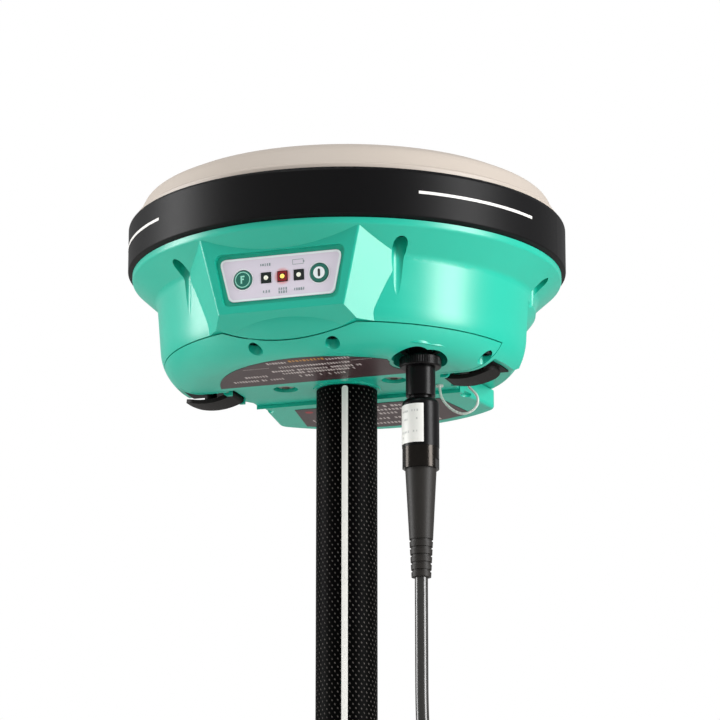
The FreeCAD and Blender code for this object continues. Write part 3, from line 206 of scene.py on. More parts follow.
# cable jacket: extruded polyurethane, dark grey with a satin shine
cableJacket = makeFinish("cableJacketPolyurethane", "#22211f", 0.24, (8, "#252421", "#1e1d1b"),
                         (1.4, 0.012, 0.2, 0.3), Specular_IOR_Level=0.8)
# tether: drawn nylon, pale and a little milky
tetherNylon = makeFinish("tetherNylon", "#e6ece6", 0.28, None, (0.8, 0.01, 0.22, 0.36),
                         Transmission_Weight=0.3)

coil = coilPoints()
tail = [Vector((*coil[-1].xy, cableSizes[end])) for end in ("tailTop", "tailEnd")]
cable = splineCord("data_cable", cableRoute + coil + tail, cableSizes["diameter"], cableJacket)
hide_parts("cable", "cable_coil", "cable_tail")
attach(cable, "receiver")
tether = splineCord("cover_tether", tetherRoute, tetherSizes["diameter"], tetherNylon)
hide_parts("tether")
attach(tether, "receiver")
print("cords laid")


# radome: moulded ASA, warm pale grey, satin, with a fine even grain and faint yellowing
radomePlastic = makeFinish("radomeMouldedAsa", "#bbb1a7", 0.45, (60, "#beb4aa", "#b5aa9f"),
                           (0.9, 0.012, 0.4, 0.54))
# case: moulded polycarbonate blend, deep turquoise under a half gloss, fine spark-eroded grain
casePlastic = makeFinish("caseMouldedPolycarbonate", "#12b399", 0.29, (35, "#16b69c", "#0fae94"),
                         (0.7, 0.012, 0.25, 0.38), Coat_Weight=0.15, Coat_Roughness=0.34)
# band: moulded thermoplastic rubber, black, satin enough to show the soft lights in it
bandRubber = makeFinish("bandMouldedRubber", "#070607", 0.4, (12, "#09080a", "#050506"),
                        (0.6, 0.02, 0.36, 0.5), Specular_IOR_Level=0.13)
# gasket, flaps, seals and far boot: moulded rubber, matt and a little browner than the band
blackRubber = makeFinish("mouldedRubber", "#0f0c0b", 0.5, (9, "#120e0d", "#0b0908"),
                         (0.6, 0.03, 0.46, 0.62), Specular_IOR_Level=0.18)
# cable boot: softer rubber, dark grey, worn to a dull sheen
bootRubber = makeFinish("bootMouldedRubber", "#22201d", 0.46, (10, "#25221f", "#1c1a18"),
                        (0.5, 0.02, 0.42, 0.58), Specular_IOR_Level=0.3)
# ports, battery and the chips' bodies: moulded nylon, black
blackNylon = makeFinish("mouldedNylon", "#080808", 0.5, None, (0.5, 0.02, 0.4, 0.6), Specular_IOR_Level=0.15)
# labels: printed vinyl, dark brown grey, with the gloss of a clear laminate
labelVinyl = makeFinish("labelVinyl", "#463738", 0.32, (25, "#49393b", "#403234"),
                        (0.5, 0.005, 0.26, 0.4), Specular_IOR_Level=0.2)
# keys: moulded silicone, deep green
keySilicone = makeFinish("keySilicone", "#136c5c", 0.45, (4, "#14705f", "#116556"), (0.4, 0.01, 0.4, 0.55))
# windows: smoked acrylic, near black with a clean gloss
windowAcrylic = makeFinish("smokedAcrylic", "#1c2423", 0.14, (2, "#1f2827", "#171e1d"),
                           (1.0, 0.003, 0.1, 0.18))
# stripe and cable wrap: white vinyl film
whiteVinyl = makeFinish("whiteVinyl", "#e9e9e5", 0.42, (9, "#ecebe7", "#e4e4df"), (0.8, 0.008, 0.34, 0.46))
# case and cap screws: steel with a black oxide finish
oxideSteel = makeFinish("blackOxideSteel", "#1a1a1b", 0.42, None, (0.3, 0.006, 0.34, 0.5), Metallic=1.0)
# insert screws and pins: turned stainless steel
steel = makeFinish("stainlessSteel", "#9c9691", 0.3, (1.5, "#a39d98", "#857f7a"),
                   (0.3, 0.006, 0.24, 0.38), Metallic=1.0)
# contacts, standoffs and antenna feed: machined brass
brass = makeFinish("machinedBrass", "#c9a45c", 0.3, (3, "#cda860", "#bd9850"),
                   (0.4, 0.008, 0.22, 0.38), Metallic=1.0)
# boards: green solder mask on glass laminate
solderMask = makeFinish("solderMaskLaminate", "#1d5c38", 0.35, (6, "#1d5c38", "#17502f"),
                        (0.5, 0.004, 0.3, 0.42))
# shield cans: tinned steel sheet
tinned = makeFinish("tinnedSteel", "#bdbcb8", 0.34, (7, "#c2c1bd", "#aaa9a5"),
                    (1.2, 0.01, 0.28, 0.42), Metallic=1.0)
# patch antenna: fired ceramic, chalky
ceramic = makeFinish("firedCeramic", "#a99d86", 0.6, (5, "#ada18a", "#a0947d"), (0.5, 0.02, 0.5, 0.7))
# plug shell: brass under a dull black plating
plated = makeFinish("blackPlatedBrass", "#060506", 0.26, (5, "#080708", "#040304"),
                    (0.5, 0.008, 0.24, 0.38), Specular_IOR_Level=0.16)
# plug nut: the same plating polished brighter
polished = makeFinish("polishedPlating", "#302d2b", 0.18, (2, "#34312e", "#2a2725"),
                      (0.5, 0.004, 0.16, 0.26), Metallic=1.0)

# the film's colour, and the painted red glow that the lit lamp throws on it, fading between two distances in
# mm
lampGlow = {"film": "#e2dae8", "red": "#e88486", "from": 2.2, "to": 4.0, "strength": 0.75}


def makeOverlay(lamp):  # panel overlay: printed polyester film, pale lilac grey, with a painted red glow round the lit lamp
    material, tree, shader = startMaterial("overlayPolyesterFilm", lampGlow["film"], 0.4)
    place = addNode(tree, "ShaderNodeTexCoord")
    away = addNode(tree, "ShaderNodeVectorMath", {"operation": "DISTANCE", 1: lamp},
                   {0: place.outputs["Object"]})
    glow = addNode(tree, "ShaderNodeMapRange",
                   {"interpolation_type": "SMOOTHSTEP", "From Min": lampGlow["from"] * mm,
                    "From Max": lampGlow["to"] * mm, "To Min": lampGlow["strength"], "To Max": 0.0},
                   {"Value": away.outputs["Value"]})
    colour = addNode(tree, "ShaderNodeMix",
                     {"data_type": "RGBA", 6: linear(lampGlow["film"]), 7: linear(lampGlow["red"])},
                     {0: glow.outputs["Result"]})
    tree.links.new(colour.outputs[2], shader.inputs["Base Color"])
    grain(tree, shader, 0.4, 0.005, 0.34, 0.48)
    return material


# strap: woven polyester webbing, its flat ribs drawn coarser than real ones so that they show
webbingSizes = {"rib": 9.0, "yarn": 0.5, "depth": 0.12}


def makeWebbing():
    material, tree, shader = startMaterial("polyesterWebbing", "#131315", 0.75, Sheen_Weight=0.15)
    place = addNode(tree, "ShaderNodeTexCoord")
    ribs = addNode(tree, "ShaderNodeTexWave",
                   {"wave_type": "BANDS", "bands_direction": "Z", "Scale": 1 / (webbingSizes["rib"] * mm),
                    "Distortion": 0.6, "Detail": 1.0}, {"Vector": place.outputs["Object"]})
    yarn = addNode(tree, "ShaderNodeTexNoise", {"Scale": 1 / (webbingSizes["yarn"] * mm)},
                   {"Vector": place.outputs["Object"]})
    both = addNode(tree, "ShaderNodeMath", {"operation": "ADD"},
                   {0: ribs.outputs["Fac"], 1: yarn.outputs["Fac"]})
    bump = addNode(tree, "ShaderNodeBump", {"Strength": 1.0, "Distance": webbingSizes["depth"] * mm},
                   {"Height": both.outputs[0]})
    tree.links.new(bump.outputs["Normal"], shader.inputs["Normal"])
    return material


# turned metal; inside the thread's radius it shows the helix of an 11 turn per inch thread
threads = {"radius": 8.4, "pitch": 2.309, "depth": 1.0, "grain": 0.3}


def makeTurned(name, colour, low, high):
    material, tree, shader = startMaterial(name, colour, low, Metallic=1.0)
    place = addNode(tree, "ShaderNodeTexCoord")
    axes = addNode(tree, "ShaderNodeSeparateXYZ", None, {0: place.outputs["Object"]})
    turn = addNode(tree, "ShaderNodeMath", {"operation": "ARCTAN2"},
                   {0: axes.outputs["Y"], 1: axes.outputs["X"]})
    part = addNode(tree, "ShaderNodeMath", {"operation": "MULTIPLY", 1: 1 / (2 * math.pi)},
                   {0: turn.outputs[0]})
    rows = addNode(tree, "ShaderNodeMath", {"operation": "MULTIPLY_ADD", 1: 1 / (threads["pitch"] * mm)},
                   {0: axes.outputs["Z"], 2: part.outputs[0]})
    ridge = addNode(tree, "ShaderNodeMath", {"operation": "PINGPONG", 1: 0.5}, {0: rows.outputs[0]})
    flat = addNode(tree, "ShaderNodeVectorMath", {"operation": "MULTIPLY", 1: (1, 1, 0)},
                   {0: place.outputs["Object"]})
    radius = addNode(tree, "ShaderNodeVectorMath", {"operation": "LENGTH"}, {0: flat.outputs["Vector"]})
    inside = addNode(tree, "ShaderNodeMath", {"operation": "LESS_THAN", 1: threads["radius"] * mm},
                     {0: radius.outputs["Value"]})
    height = addNode(tree, "ShaderNodeMath", {"operation": "MULTIPLY"},
                     {0: ridge.outputs[0], 1: inside.outputs[0]})
    fine = addNode(tree, "ShaderNodeTexNoise", {"Scale": 1 / (threads["grain"] * mm)},
                   {"Vector": place.outputs["Object"]})
    spread = addNode(tree, "ShaderNodeMapRange", {"To Min": low, "To Max": high},
                     {"Value": fine.outputs["Fac"]})
    tree.links.new(spread.outputs["Result"], shader.inputs["Roughness"])
    bump = addNode(tree, "ShaderNodeBump", {"Strength": 1.0, "Distance": threads["depth"] * mm},
                   {"Height": height.outputs[0]})
    tree.links.new(bump.outputs["Normal"], shader.inputs["Normal"])
    return material


# pole: carbon twill under clear lacquer; the pale spots are painted highlights where each tow crosses over
# and catches the light, stronger and weaker in soft patches
weave = {
    "around": 1.26, "along": 3.4, "radius": 12.8, "slant": 0.2, "dark": "#020202", "spot": "#5c5855",
    "squeeze": (1.1, 2.6, 0), "core": 0.05, "edge": 0.43, "glintPatch": 5.0, "glintLeast": 0.45,
    "roughTow": 0.46, "roughSpot": 0.34, "depth": 0.03}


def makeCarbon():
    material, tree, shader = startMaterial("carbonTwillLacquer", weave["dark"], 0.42, Specular_IOR_Level=0.02)
    place = addNode(tree, "ShaderNodeTexCoord")
    axes = addNode(tree, "ShaderNodeSeparateXYZ", None, {0: place.outputs["Object"]})
    turn = addNode(tree, "ShaderNodeMath", {"operation": "ARCTAN2"},
                   {0: axes.outputs["Y"], 1: axes.outputs["X"]})
    columns = round(2 * math.pi * weave["radius"] / weave["around"] / 2) * 2
    across = addNode(tree, "ShaderNodeMath", {"operation": "MULTIPLY", 1: columns / (2 * math.pi)},
                     {0: turn.outputs[0]})
    column = addNode(tree, "ShaderNodeMath", {"operation": "FLOOR"}, {0: across.outputs[0]})
    odd = addNode(tree, "ShaderNodeMath", {"operation": "FLOORED_MODULO", 1: 2.0}, {0: column.outputs[0]})
    lift = addNode(tree, "ShaderNodeMath", {"operation": "MULTIPLY", 1: 0.5}, {0: odd.outputs[0]})
    rows = addNode(tree, "ShaderNodeMath", {"operation": "MULTIPLY_ADD", 1: 1 / (weave["along"] * mm)},
                   {0: axes.outputs["Z"], 2: lift.outputs[0]})
    u = addNode(tree, "ShaderNodeMath", {"operation": "FRACT"}, {0: across.outputs[0]})
    v = addNode(tree, "ShaderNodeMath", {"operation": "FRACT"}, {0: rows.outputs[0]})
    spot = addNode(tree, "ShaderNodeCombineXYZ", None, {0: u.outputs[0], 1: v.outputs[0]})
    away = addNode(tree, "ShaderNodeVectorMath", {"operation": "SUBTRACT", 1: (0.5, 0.5, 0)},
                   {0: spot.outputs[0]})
    slant = addNode(tree, "ShaderNodeVectorRotate", {"rotation_type": "Z_AXIS", "Angle": weave["slant"]},
                    {"Vector": away.outputs[0]})
    stretch = addNode(tree, "ShaderNodeVectorMath", {"operation": "MULTIPLY", 1: weave["squeeze"]},
                      {0: slant.outputs[0]})
    reach = addNode(tree, "ShaderNodeVectorMath", {"operation": "LENGTH"}, {0: stretch.outputs[0]})
    glow = addNode(tree, "ShaderNodeMapRange",
                   {"interpolation_type": "SMOOTHSTEP", "From Min": weave["core"], "From Max": weave["edge"],
                    "To Min": 1.0, "To Max": 0.0}, {"Value": reach.outputs["Value"]})
    # painted highlights: soft patches where the spots are fainter, down to a least share of their strength
    glintPatch = addNode(tree, "ShaderNodeTexNoise", {"Scale": 1 / (weave["glintPatch"] * mm), "Detail": 2.0},
                   {"Vector": place.outputs["Object"]})
    patchy = addNode(tree, "ShaderNodeMapRange",
                     {"From Min": 0.3, "From Max": 0.7, "To Min": weave["glintLeast"], "To Max": 1.0},
                     {"Value": glintPatch.outputs["Fac"]})
    amount = addNode(tree, "ShaderNodeMath", {"operation": "MULTIPLY"},
                     {0: glow.outputs["Result"], 1: patchy.outputs["Result"]})
    # painted highlight: the spot colour mixed into the black where the tows catch the light
    colour = addNode(tree, "ShaderNodeMix",
                     {"data_type": "RGBA", 6: linear(weave["dark"]), 7: linear(weave["spot"])},
                     {0: amount.outputs[0]})
    tree.links.new(colour.outputs[2], shader.inputs["Base Color"])
    spread = addNode(tree, "ShaderNodeMapRange",
                     {"To Min": weave["roughTow"], "To Max": weave["roughSpot"]},
                     {"Value": amount.outputs[0]})
    tree.links.new(spread.outputs["Result"], shader.inputs["Roughness"])
    bump = addNode(tree, "ShaderNodeBump", {"Strength": 0.6, "Distance": weave["depth"] * mm},
                   {"Height": glow.outputs["Result"]})
    tree.links.new(bump.outputs["Normal"], shader.inputs["Normal"])
    return material


# the front of the panel's boss, the film's depth in it, and the three lamps
panel = {"face": 81.9, "rise": 29.0, "lean": 5.1, "film": 1.5}
lamps = {
    "places": (-6.4, 0.6, 7.6), "face": 1.3, "radius": 0.95, "dome": 0.35, "bezel": 1.95, "bezelRound": 0.3,
    "bezelHole": 1.2, "holeRound": 0.5, "proud": 0.04, "rings": 5, "around": 24}
panelPlace = (Matrix.Translation((0, -panel["face"] * mm, seatZ + panel["rise"] * mm))
              @ Matrix.Rotation(math.radians(panel["lean"]), 4, "X"))
lampPlace = panelPlace @ Vector((lamps["places"][1] * mm, panel["film"] * mm, 0))

overlayFilm = makeOverlay(lampPlace)
webbing = makeWebbing()
anodised = makeTurned("anodisedAluminium", "#232224", 0.32, 0.46)
insertBrass = makeTurned("insertBrass", "#c9a45c", 0.26, 0.4)
carbon = makeCarbon()

# inks: thin screen prints, each a flat colour with a soft unevenness
paleInk = makeFinish("paleScreenInk", "#f0f6f8", 0.5, (3, "#f2f8fa", "#eaf1f4"))
greyInk = makeFinish("greyScreenInk", "#7f8f92", 0.5, (2, "#7f8f92", "#94a2a5"))
faintInk = makeFinish("faintScreenInk", "#b9bab7", 0.5, (2, "#b9bab7", "#cfd0cc"))
darkInk = makeFinish("darkScreenInk", "#16201e", 0.5, (2, "#16201e", "#1e2927"))
mintInk = makeFinish("mintScreenInk", "#a5ecd8", 0.5, (2, "#a5ecd8", "#95dfca"))
silverInk = makeFinish("silverScreenInk", "#c6bcba", 0.4, (3, "#cfc5c3", "#b0a6a4"))
amberInk = makeFinish("amberScreenInk", "#c08a3c", 0.45, (2, "#c48e3f", "#b07c34"))
redInk = makeFinish("redScreenInk", "#a8343a", 0.5, (1.5, "#ac373d", "#8f2c31"))
whiteInk = makeFinish("whiteScreenInk", "#e6e4e0", 0.45, (8, "#e8e6e2", "#dfddd9"))
# lamp lenses: pale cast epoxy, the unlit ones with a faint painted glow; the lit one glows amber in a red
# bezel print that carries a faint painted red glow
paleGlowLens = makeFinish("paleEpoxyLensPaintedGlow", "#dfe0d0", 0.12, Emission_Strength=0.25,
                      Emission_Color=linear("#e6e6d6"))
litLens = makeFinish("litEpoxyLens", "#f0c060", 0.12, Emission_Strength=0.9, Emission_Color=linear("#f2bd55"))
# the bezel print's emission is a painted red glow from the lit lamp
litBezel = makeFinish("litBezelPrintPaintedGlow", "#7d1016", 0.3, Emission_Strength=0.12,
                      Emission_Color=linear("#b02024"))
print("finishes made")

dress(radomePlastic, "radome")
dress(casePlastic, "lower_case", "bottom_cap", "battery_door")
dress(bandRubber, "bumper_band")
dress(blackRubber, "main_gasket", "port_flap_left", "port_flap_right", "door_seal", "door_pad", "far_boot")
dress(bootRubber, "plug_boot")
dress(blackNylon, "port_socket", "side_socket_left", "side_socket_right", "battery_pack")
dress(overlayFilm, "keypad_overlay")
dress(labelVinyl, "front_label", "door_label")
dress(keySilicone, "function_key", "power_key")
dress(windowAcrylic, "led_windows")
dress(whiteVinyl, "pole_stripe", "cable_wrap")
dress(oxideSteel, "case_screws", "cap_screws")
dress(steel, "insert_screws", "flap_pins", "door_hinge_pin")
dress(brass, "battery_contacts", "board_standoffs", "antenna_feed")
dress(insertBrass, "pole_insert")
dress(anodised, "pole_top", "pole_foot", "antenna_plate")
dress(solderMask, "keypad_board", "main_board")
dress(tinned, "gnss_module", "radio_module")
dress(ceramic, "antenna_patch")
dress(plated, "plug_body", "plug_sleeve", "far_plug")
dress(polished, "plug_nut")
dress(carbon, "pole_tube")
dress(webbing, "coil_strap")
dress(tetherNylon, "tether_pads")
print("nodes dressed")


def openTree(name, inputs):  # a geometry tree with named inputs; gives the tree and its two end nodes
    tree = bpy.data.node_groups.new(name, "GeometryNodeTree")
    tree.interface.new_socket("Geometry", in_out="INPUT", socket_type="NodeSocketGeometry")
    for label, kind, value in inputs:
        socket = tree.interface.new_socket(label, in_out="INPUT", socket_type=kind)
        if value is not None:
            socket.default_value = value
    tree.interface.new_socket("Geometry", in_out="OUTPUT", socket_type="NodeSocketGeometry")
    return tree, addNode(tree, "NodeGroupInput"), addNode(tree, "NodeGroupOutput")


def runTree(tree, name, mesh, values, material, body="receiver"):
    holder = bpy.data.objects.new(name + "_source", mesh)
    bpy.context.scene.collection.objects.link(holder)
    modifier = holder.modifiers.new("detail", "NODES")
    modifier.node_group = tree
    for item in tree.interface.items_tree:
        if item.in_out == "INPUT" and item.name in values:
            modifier[item.identifier] = values[item.name]
    bpy.context.view_layer.update()
    made = bpy.data.meshes.new_from_object(holder.evaluated_get(bpy.context.evaluated_depsgraph_get()))
    made.name = name
    holder.modifiers.remove(modifier)
    bpy.data.objects.remove(holder)
    newPiece(name, made, material, body)


# rows of small marks along the edges of a mesh: what print looks like once it can't be read
printMark = {"fill": 0.78, "thick": 0.04, "least": (0.5, 0.7, 0.7), "most": (1.0, 1.0, 1.0)}


def makePrintTree():
    tree, given, result = openTree("printedRows", [
        ("Height", "NodeSocketFloat", 1.2 * mm), ("Pitch", "NodeSocketFloat", 1.0 * mm),
        ("Seed", "NodeSocketInt", 1), ("Gaps", "NodeSocketFloat", 0.14), ("Tilt", "NodeSocketFloat", 0.0),
        ("Ink", "NodeSocketMaterial", None)])
    curve = addNode(tree, "GeometryNodeMeshToCurve", None, {0: given.outputs["Geometry"]})
    spaced = addNode(tree, "GeometryNodeResampleCurve", {"mode": "LENGTH"},
                     {"Curve": curve.outputs[0], "Length": given.outputs["Pitch"]})
    tangent = addNode(tree, "GeometryNodeInputTangent")
    turn = addNode(tree, "FunctionNodeAlignRotationToVector", {"axis": "X"}, {"Vector": tangent.outputs[0]})
    keep = addNode(tree, "FunctionNodeRandomValue", {"data_type": "BOOLEAN"}, {"Seed": given.outputs["Seed"]})
    shown = addNode(tree, "ShaderNodeMath", {"operation": "SUBTRACT", 0: 1.0}, {1: given.outputs["Gaps"]})
    tree.links.new(shown.outputs[0], keep.inputs["Probability"])
    mark = addNode(tree, "GeometryNodeMeshCube")
    width = addNode(tree, "ShaderNodeMath", {"operation": "MULTIPLY", 1: printMark["fill"]},
                    {0: given.outputs["Pitch"]})
    size = addNode(tree, "ShaderNodeCombineXYZ", {2: printMark["thick"] * mm},
                   {0: width.outputs[0], 1: given.outputs["Height"]})
    tree.links.new(size.outputs[0], mark.inputs["Size"])
    varied = addNode(tree, "FunctionNodeRandomValue",
                     {"data_type": "FLOAT_VECTOR", 0: printMark["least"], 1: printMark["most"]},
                     {"Seed": given.outputs["Seed"]})
    tilt = addNode(tree, "ShaderNodeCombineXYZ", None, {0: given.outputs["Tilt"]})
    stood = addNode(tree, "GeometryNodeTransform", None,
                    {"Geometry": mark.outputs[0], "Rotation": tilt.outputs[0]})
    placed = addNode(tree, "GeometryNodeInstanceOnPoints", None,
                     {"Points": spaced.outputs[0], "Selection": keep.outputs[3], "Instance": stood.outputs[0],
                      "Rotation": turn.outputs[0], "Scale": varied.outputs[0]})
    real = addNode(tree, "GeometryNodeRealizeInstances", None, {0: placed.outputs[0]})
    inked = addNode(tree, "GeometryNodeSetMaterial", None,
                    {"Geometry": real.outputs[0], "Material": given.outputs["Ink"]})
    tree.links.new(inked.outputs[0], result.inputs[0])
    return tree


# a knurl: upright ridges on every point of a ring, turned to face away from its middle
def makeRidgeTree():
    tree, given, result = openTree("knurlRidges", [
        ("Middle", "NodeSocketVector", (0, 0, 0)), ("Width", "NodeSocketFloat", 0.5 * mm),
        ("Height", "NodeSocketFloat", 3.0 * mm), ("Metal", "NodeSocketMaterial", None)])
    place = addNode(tree, "GeometryNodeInputPosition")
    away = addNode(tree, "ShaderNodeVectorMath", {"operation": "SUBTRACT"},
                   {0: place.outputs[0], 1: given.outputs["Middle"]})
    turn = addNode(tree, "FunctionNodeAlignRotationToVector", {"axis": "X"}, {"Vector": away.outputs[0]})
    bar = addNode(tree, "GeometryNodeMeshCylinder", {"Vertices": 6, "fill_type": "TRIANGLE_FAN"})
    half = addNode(tree, "ShaderNodeMath", {"operation": "MULTIPLY", 1: 0.5}, {0: given.outputs["Width"]})
    tree.links.new(half.outputs[0], bar.inputs["Radius"])
    tree.links.new(given.outputs["Height"], bar.inputs["Depth"])
    placed = addNode(tree, "GeometryNodeInstanceOnPoints", None,
                     {"Points": given.outputs["Geometry"], "Instance": bar.outputs[0],
                      "Rotation": turn.outputs[0]})
    real = addNode(tree, "GeometryNodeRealizeInstances", None, {0: placed.outputs[0]})
    inked = addNode(tree, "GeometryNodeSetMaterial", None,
                    {"Geometry": real.outputs[0], "Material": given.outputs["Metal"]})
    tree.links.new(inked.outputs[0], result.inputs[0])
    return tree


# small parts of many sizes on a board, one on each kept point of a grid
chip = {"shape": (1.0, 1.0, 0.5), "rise": 0.45, "least": (0.3, 0.3, 0.3), "most": (1.0, 1.0, 1.0)}


def makeChipTree():
    tree, given, result = openTree("boardParts", [
        ("Seed", "NodeSocketInt", 3), ("Size", "NodeSocketFloat", 3.0 * mm),
        ("Share", "NodeSocketFloat", 0.7), ("Finish", "NodeSocketMaterial", None)])
    keep = addNode(tree, "FunctionNodeRandomValue", {"data_type": "BOOLEAN"},
                   {"Seed": given.outputs["Seed"], "Probability": given.outputs["Share"]})
    varied = addNode(tree, "FunctionNodeRandomValue",
                     {"data_type": "FLOAT_VECTOR", 0: chip["least"], 1: chip["most"]},
                     {"Seed": given.outputs["Seed"]})
    block = addNode(tree, "GeometryNodeMeshCube")
    size = addNode(tree, "ShaderNodeVectorMath", {"operation": "SCALE", 0: chip["shape"]},
                   {"Scale": given.outputs["Size"]})
    tree.links.new(size.outputs[0], block.inputs["Size"])
    raised = addNode(tree, "GeometryNodeTransform", {"Translation": (0, 0, chip["rise"] * mm)},
                     {0: block.outputs[0]})
    placed = addNode(tree, "GeometryNodeInstanceOnPoints", None,
                     {"Points": given.outputs["Geometry"], "Selection": keep.outputs[3],
                      "Instance": raised.outputs[0], "Scale": varied.outputs[0]})
    real = addNode(tree, "GeometryNodeRealizeInstances", None, {0: placed.outputs[0]})
    inked = addNode(tree, "GeometryNodeSetMaterial", None,
                    {"Geometry": real.outputs[0], "Material": given.outputs["Finish"]})
    tree.links.new(inked.outputs[0], result.inputs[0])
    return tree


def lineMesh(name, lines):  # one edge path for each list of points, in mm
    points, edges = [], []
    for line in lines:
        start = len(points)
        points += [Vector(p) * mm for p in line]
        edges += [(start + i, start + i + 1) for i in range(len(line) - 1)]
    mesh = bpy.data.meshes.new(name)
    mesh.from_pydata(points, edges, [])
    return mesh


printTree = makePrintTree()
ridgeTree = makeRidgeTree()
chipTree = makeChipTree()

# rows of print on the two labels, each as x from, x to and y
labelRows = {
    "front": [(-14.3, -5.6, -56.9), (11.0, 20.2, -56.6), (-11.6, 18.0, -50.0), (-17.6, 21.2, -44.4),
              (-13.4, 17.0, -40.2), (-8.0, 11.0, -34.8), (-30.4, -21.6, -38.6), (-37.6, -16.6, -32.6)],
    "amber": [(-4.4, 9.6, -58.0)],
    "rules": [(-27.2, -16.4, -50.6), (20.0, 28.6, -52.0)],
    "door": [(3.0, 25.0, 30.5), (1.5, 27.0, 36.5), (-1.0, 26.0, 42.5), (-4.0, 10.0, 51.0), (-8.0, 22.0, 59.0),
             (-31.0, -24.0, 46.0), (-31.0, -18.0, 50.0)],
    "frontDepth": -0.23, "doorDepth": 1.27, "dot": (-27.9, 31.0, 1.26), "dotRadius": 1.7, "dotSides": 28}
# each print's rows and depth, its marks' height and pitch, the share left out, the seed, and what carries it
labelPrints = [
    ("front_label_print", "front", "frontDepth", 3.0, 1.2, 0.1, 4, silverInk, "receiver"),
    ("front_label_heading", "amber", "frontDepth", 3.2, 1.5, 0.0, 9, amberInk, "receiver"),
    ("front_label_rules", "rules", "frontDepth", 0.5, 0.6, 0.0, 2, silverInk, "receiver"),
    ("door_label_print", "door", "doorDepth", 3.4, 1.6, 0.1, 7, silverInk, "battery_door")]


def printLabels():
    for name, rows, depth, height, pitch, gaps, seed, ink, body in labelPrints:
        z = base + labelRows[depth]
        lines = [[(a, y, z), (b, y, z)] for a, b, y in labelRows[rows]]
        values = {"Height": height * mm, "Pitch": pitch * mm, "Gaps": gaps, "Seed": seed, "Ink": ink}
        runTree(printTree, name, lineMesh(name, lines), values, ink, body)
    x, y, depth = labelRows["dot"]
    place = Matrix.Translation(Vector((x, y, base + depth)) * mm) @ Matrix.Rotation(math.radians(90), 4, "X")
    newPiece("door_label_dot", ringMesh("door_label_dot", labelRows["dotRadius"], 0, labelRows["dotSides"],
                                        place), redInk, "battery_door")


def aroundAxis(radius, part, out=0.0):  # a point on a circle in the panel's plane, at a part of one turn
    return Vector((radius * math.cos(2 * math.pi * part), -out, radius * math.sin(2 * math.pi * part)))


def ringMesh(name, outer, inner, count, place):  # flat print: a ring, or a disc where it has no inner radius
    mesh = bpy.data.meshes.new(name)
    made = bmesh.new()
    rims = []
    for radius in ((outer, inner) if inner else (outer,)):
        rims.append([made.verts.new(place @ (aroundAxis(radius, i / count) * mm)) for i in range(count)])
    if inner:
        for i in range(count):
            j = (i + 1) % count
            made.faces.new((rims[0][i], rims[0][j], rims[1][j], rims[1][i]))
    else:
        made.faces.new(rims[0])
    bmesh.ops.recalc_face_normals(made, faces=made.faces)
    made.to_mesh(mesh)
    made.free()
    return mesh


def platesMesh(name, shapes, place):  # flat prints from lists of (x, z) corners in mm
    mesh = bpy.data.meshes.new(name)
    made = bmesh.new()
    for shape in shapes:
        made.faces.new([made.verts.new(place @ (Vector((x, 0, z)) * mm)) for x, z in shape])
    made.to_mesh(mesh)
    made.free()
    return mesh


def borderStrip(outer, inner):  # the four-cornered plates between two outlines of as many corners
    count = len(outer)
    return [[outer[i], outer[(i + 1) % count], inner[(i + 1) % count], inner[i]] for i in range(count)]


def onPanel(x, y):  # a frame on the panel, x along it and y into it, in mm
    return panelPlace @ Matrix.Translation(Vector((x, y, 0)) * mm)


def roundBox(left, right, low, high, radius, steps=6, slant=0.0):  # an outline with rounded corners
    points = []
    for cx, cz, start in ((right - radius, high - radius, 0), (left + radius, high - radius, 90),
                          (left + radius, low + radius, 180), (right - radius, low + radius, 270)):
        for i in range(steps + 1):
            angle = math.radians(start + 90 * i / steps)
            x, z = cx + radius * math.cos(angle), cz + radius * math.sin(angle)
            points.append((x * (1 + slant * z), z))
    return points


keys = {
    "spacing": 32.6, "face": 1.1, "print": 0.05, "halo": (4.5, 4.12), "thinRing": (3.25, 2.9), "disc": 2.45,
    "ringSides": 40, "discSides": 36, "bar": (0.5, 1.6), "barRound": 0.49,
    "letter": {"width": 1.7, "height": 3.2, "stroke": 0.62, "armShort": 0.3, "armLift": 0.15}}
filmEdge = {"half": 8.85, "topHalf": 26.4, "lowHalf": 22.4, "round": 2.6, "inset": 0.12, "width": 0.75}


def printPanel():
    top = panel["film"] - keys["print"]
    # the film's pale border follows its tapered outline
    middleHalf = (filmEdge["topHalf"] + filmEdge["lowHalf"]) / 2
    slant = (filmEdge["topHalf"] - filmEdge["lowHalf"]) / 2 / filmEdge["half"] / middleHalf
    rims = []
    for inset in (filmEdge["inset"], filmEdge["inset"] + filmEdge["width"]):
        wide, tall = middleHalf - inset, filmEdge["half"] - inset
        rims.append(roundBox(-wide, wide, -tall, tall, filmEdge["round"] - inset, 6, slant))
    newPiece("overlay_border", platesMesh("overlay_border", borderStrip(*rims), onPanel(0, top)), paleInk)
    for name, side in (("function_key_halo", -1), ("power_key_halo", 1)):
        place = onPanel(side * keys["spacing"] / 2, top)
        newPiece(name, ringMesh(name, *keys["halo"], keys["ringSides"], place), paleInk)


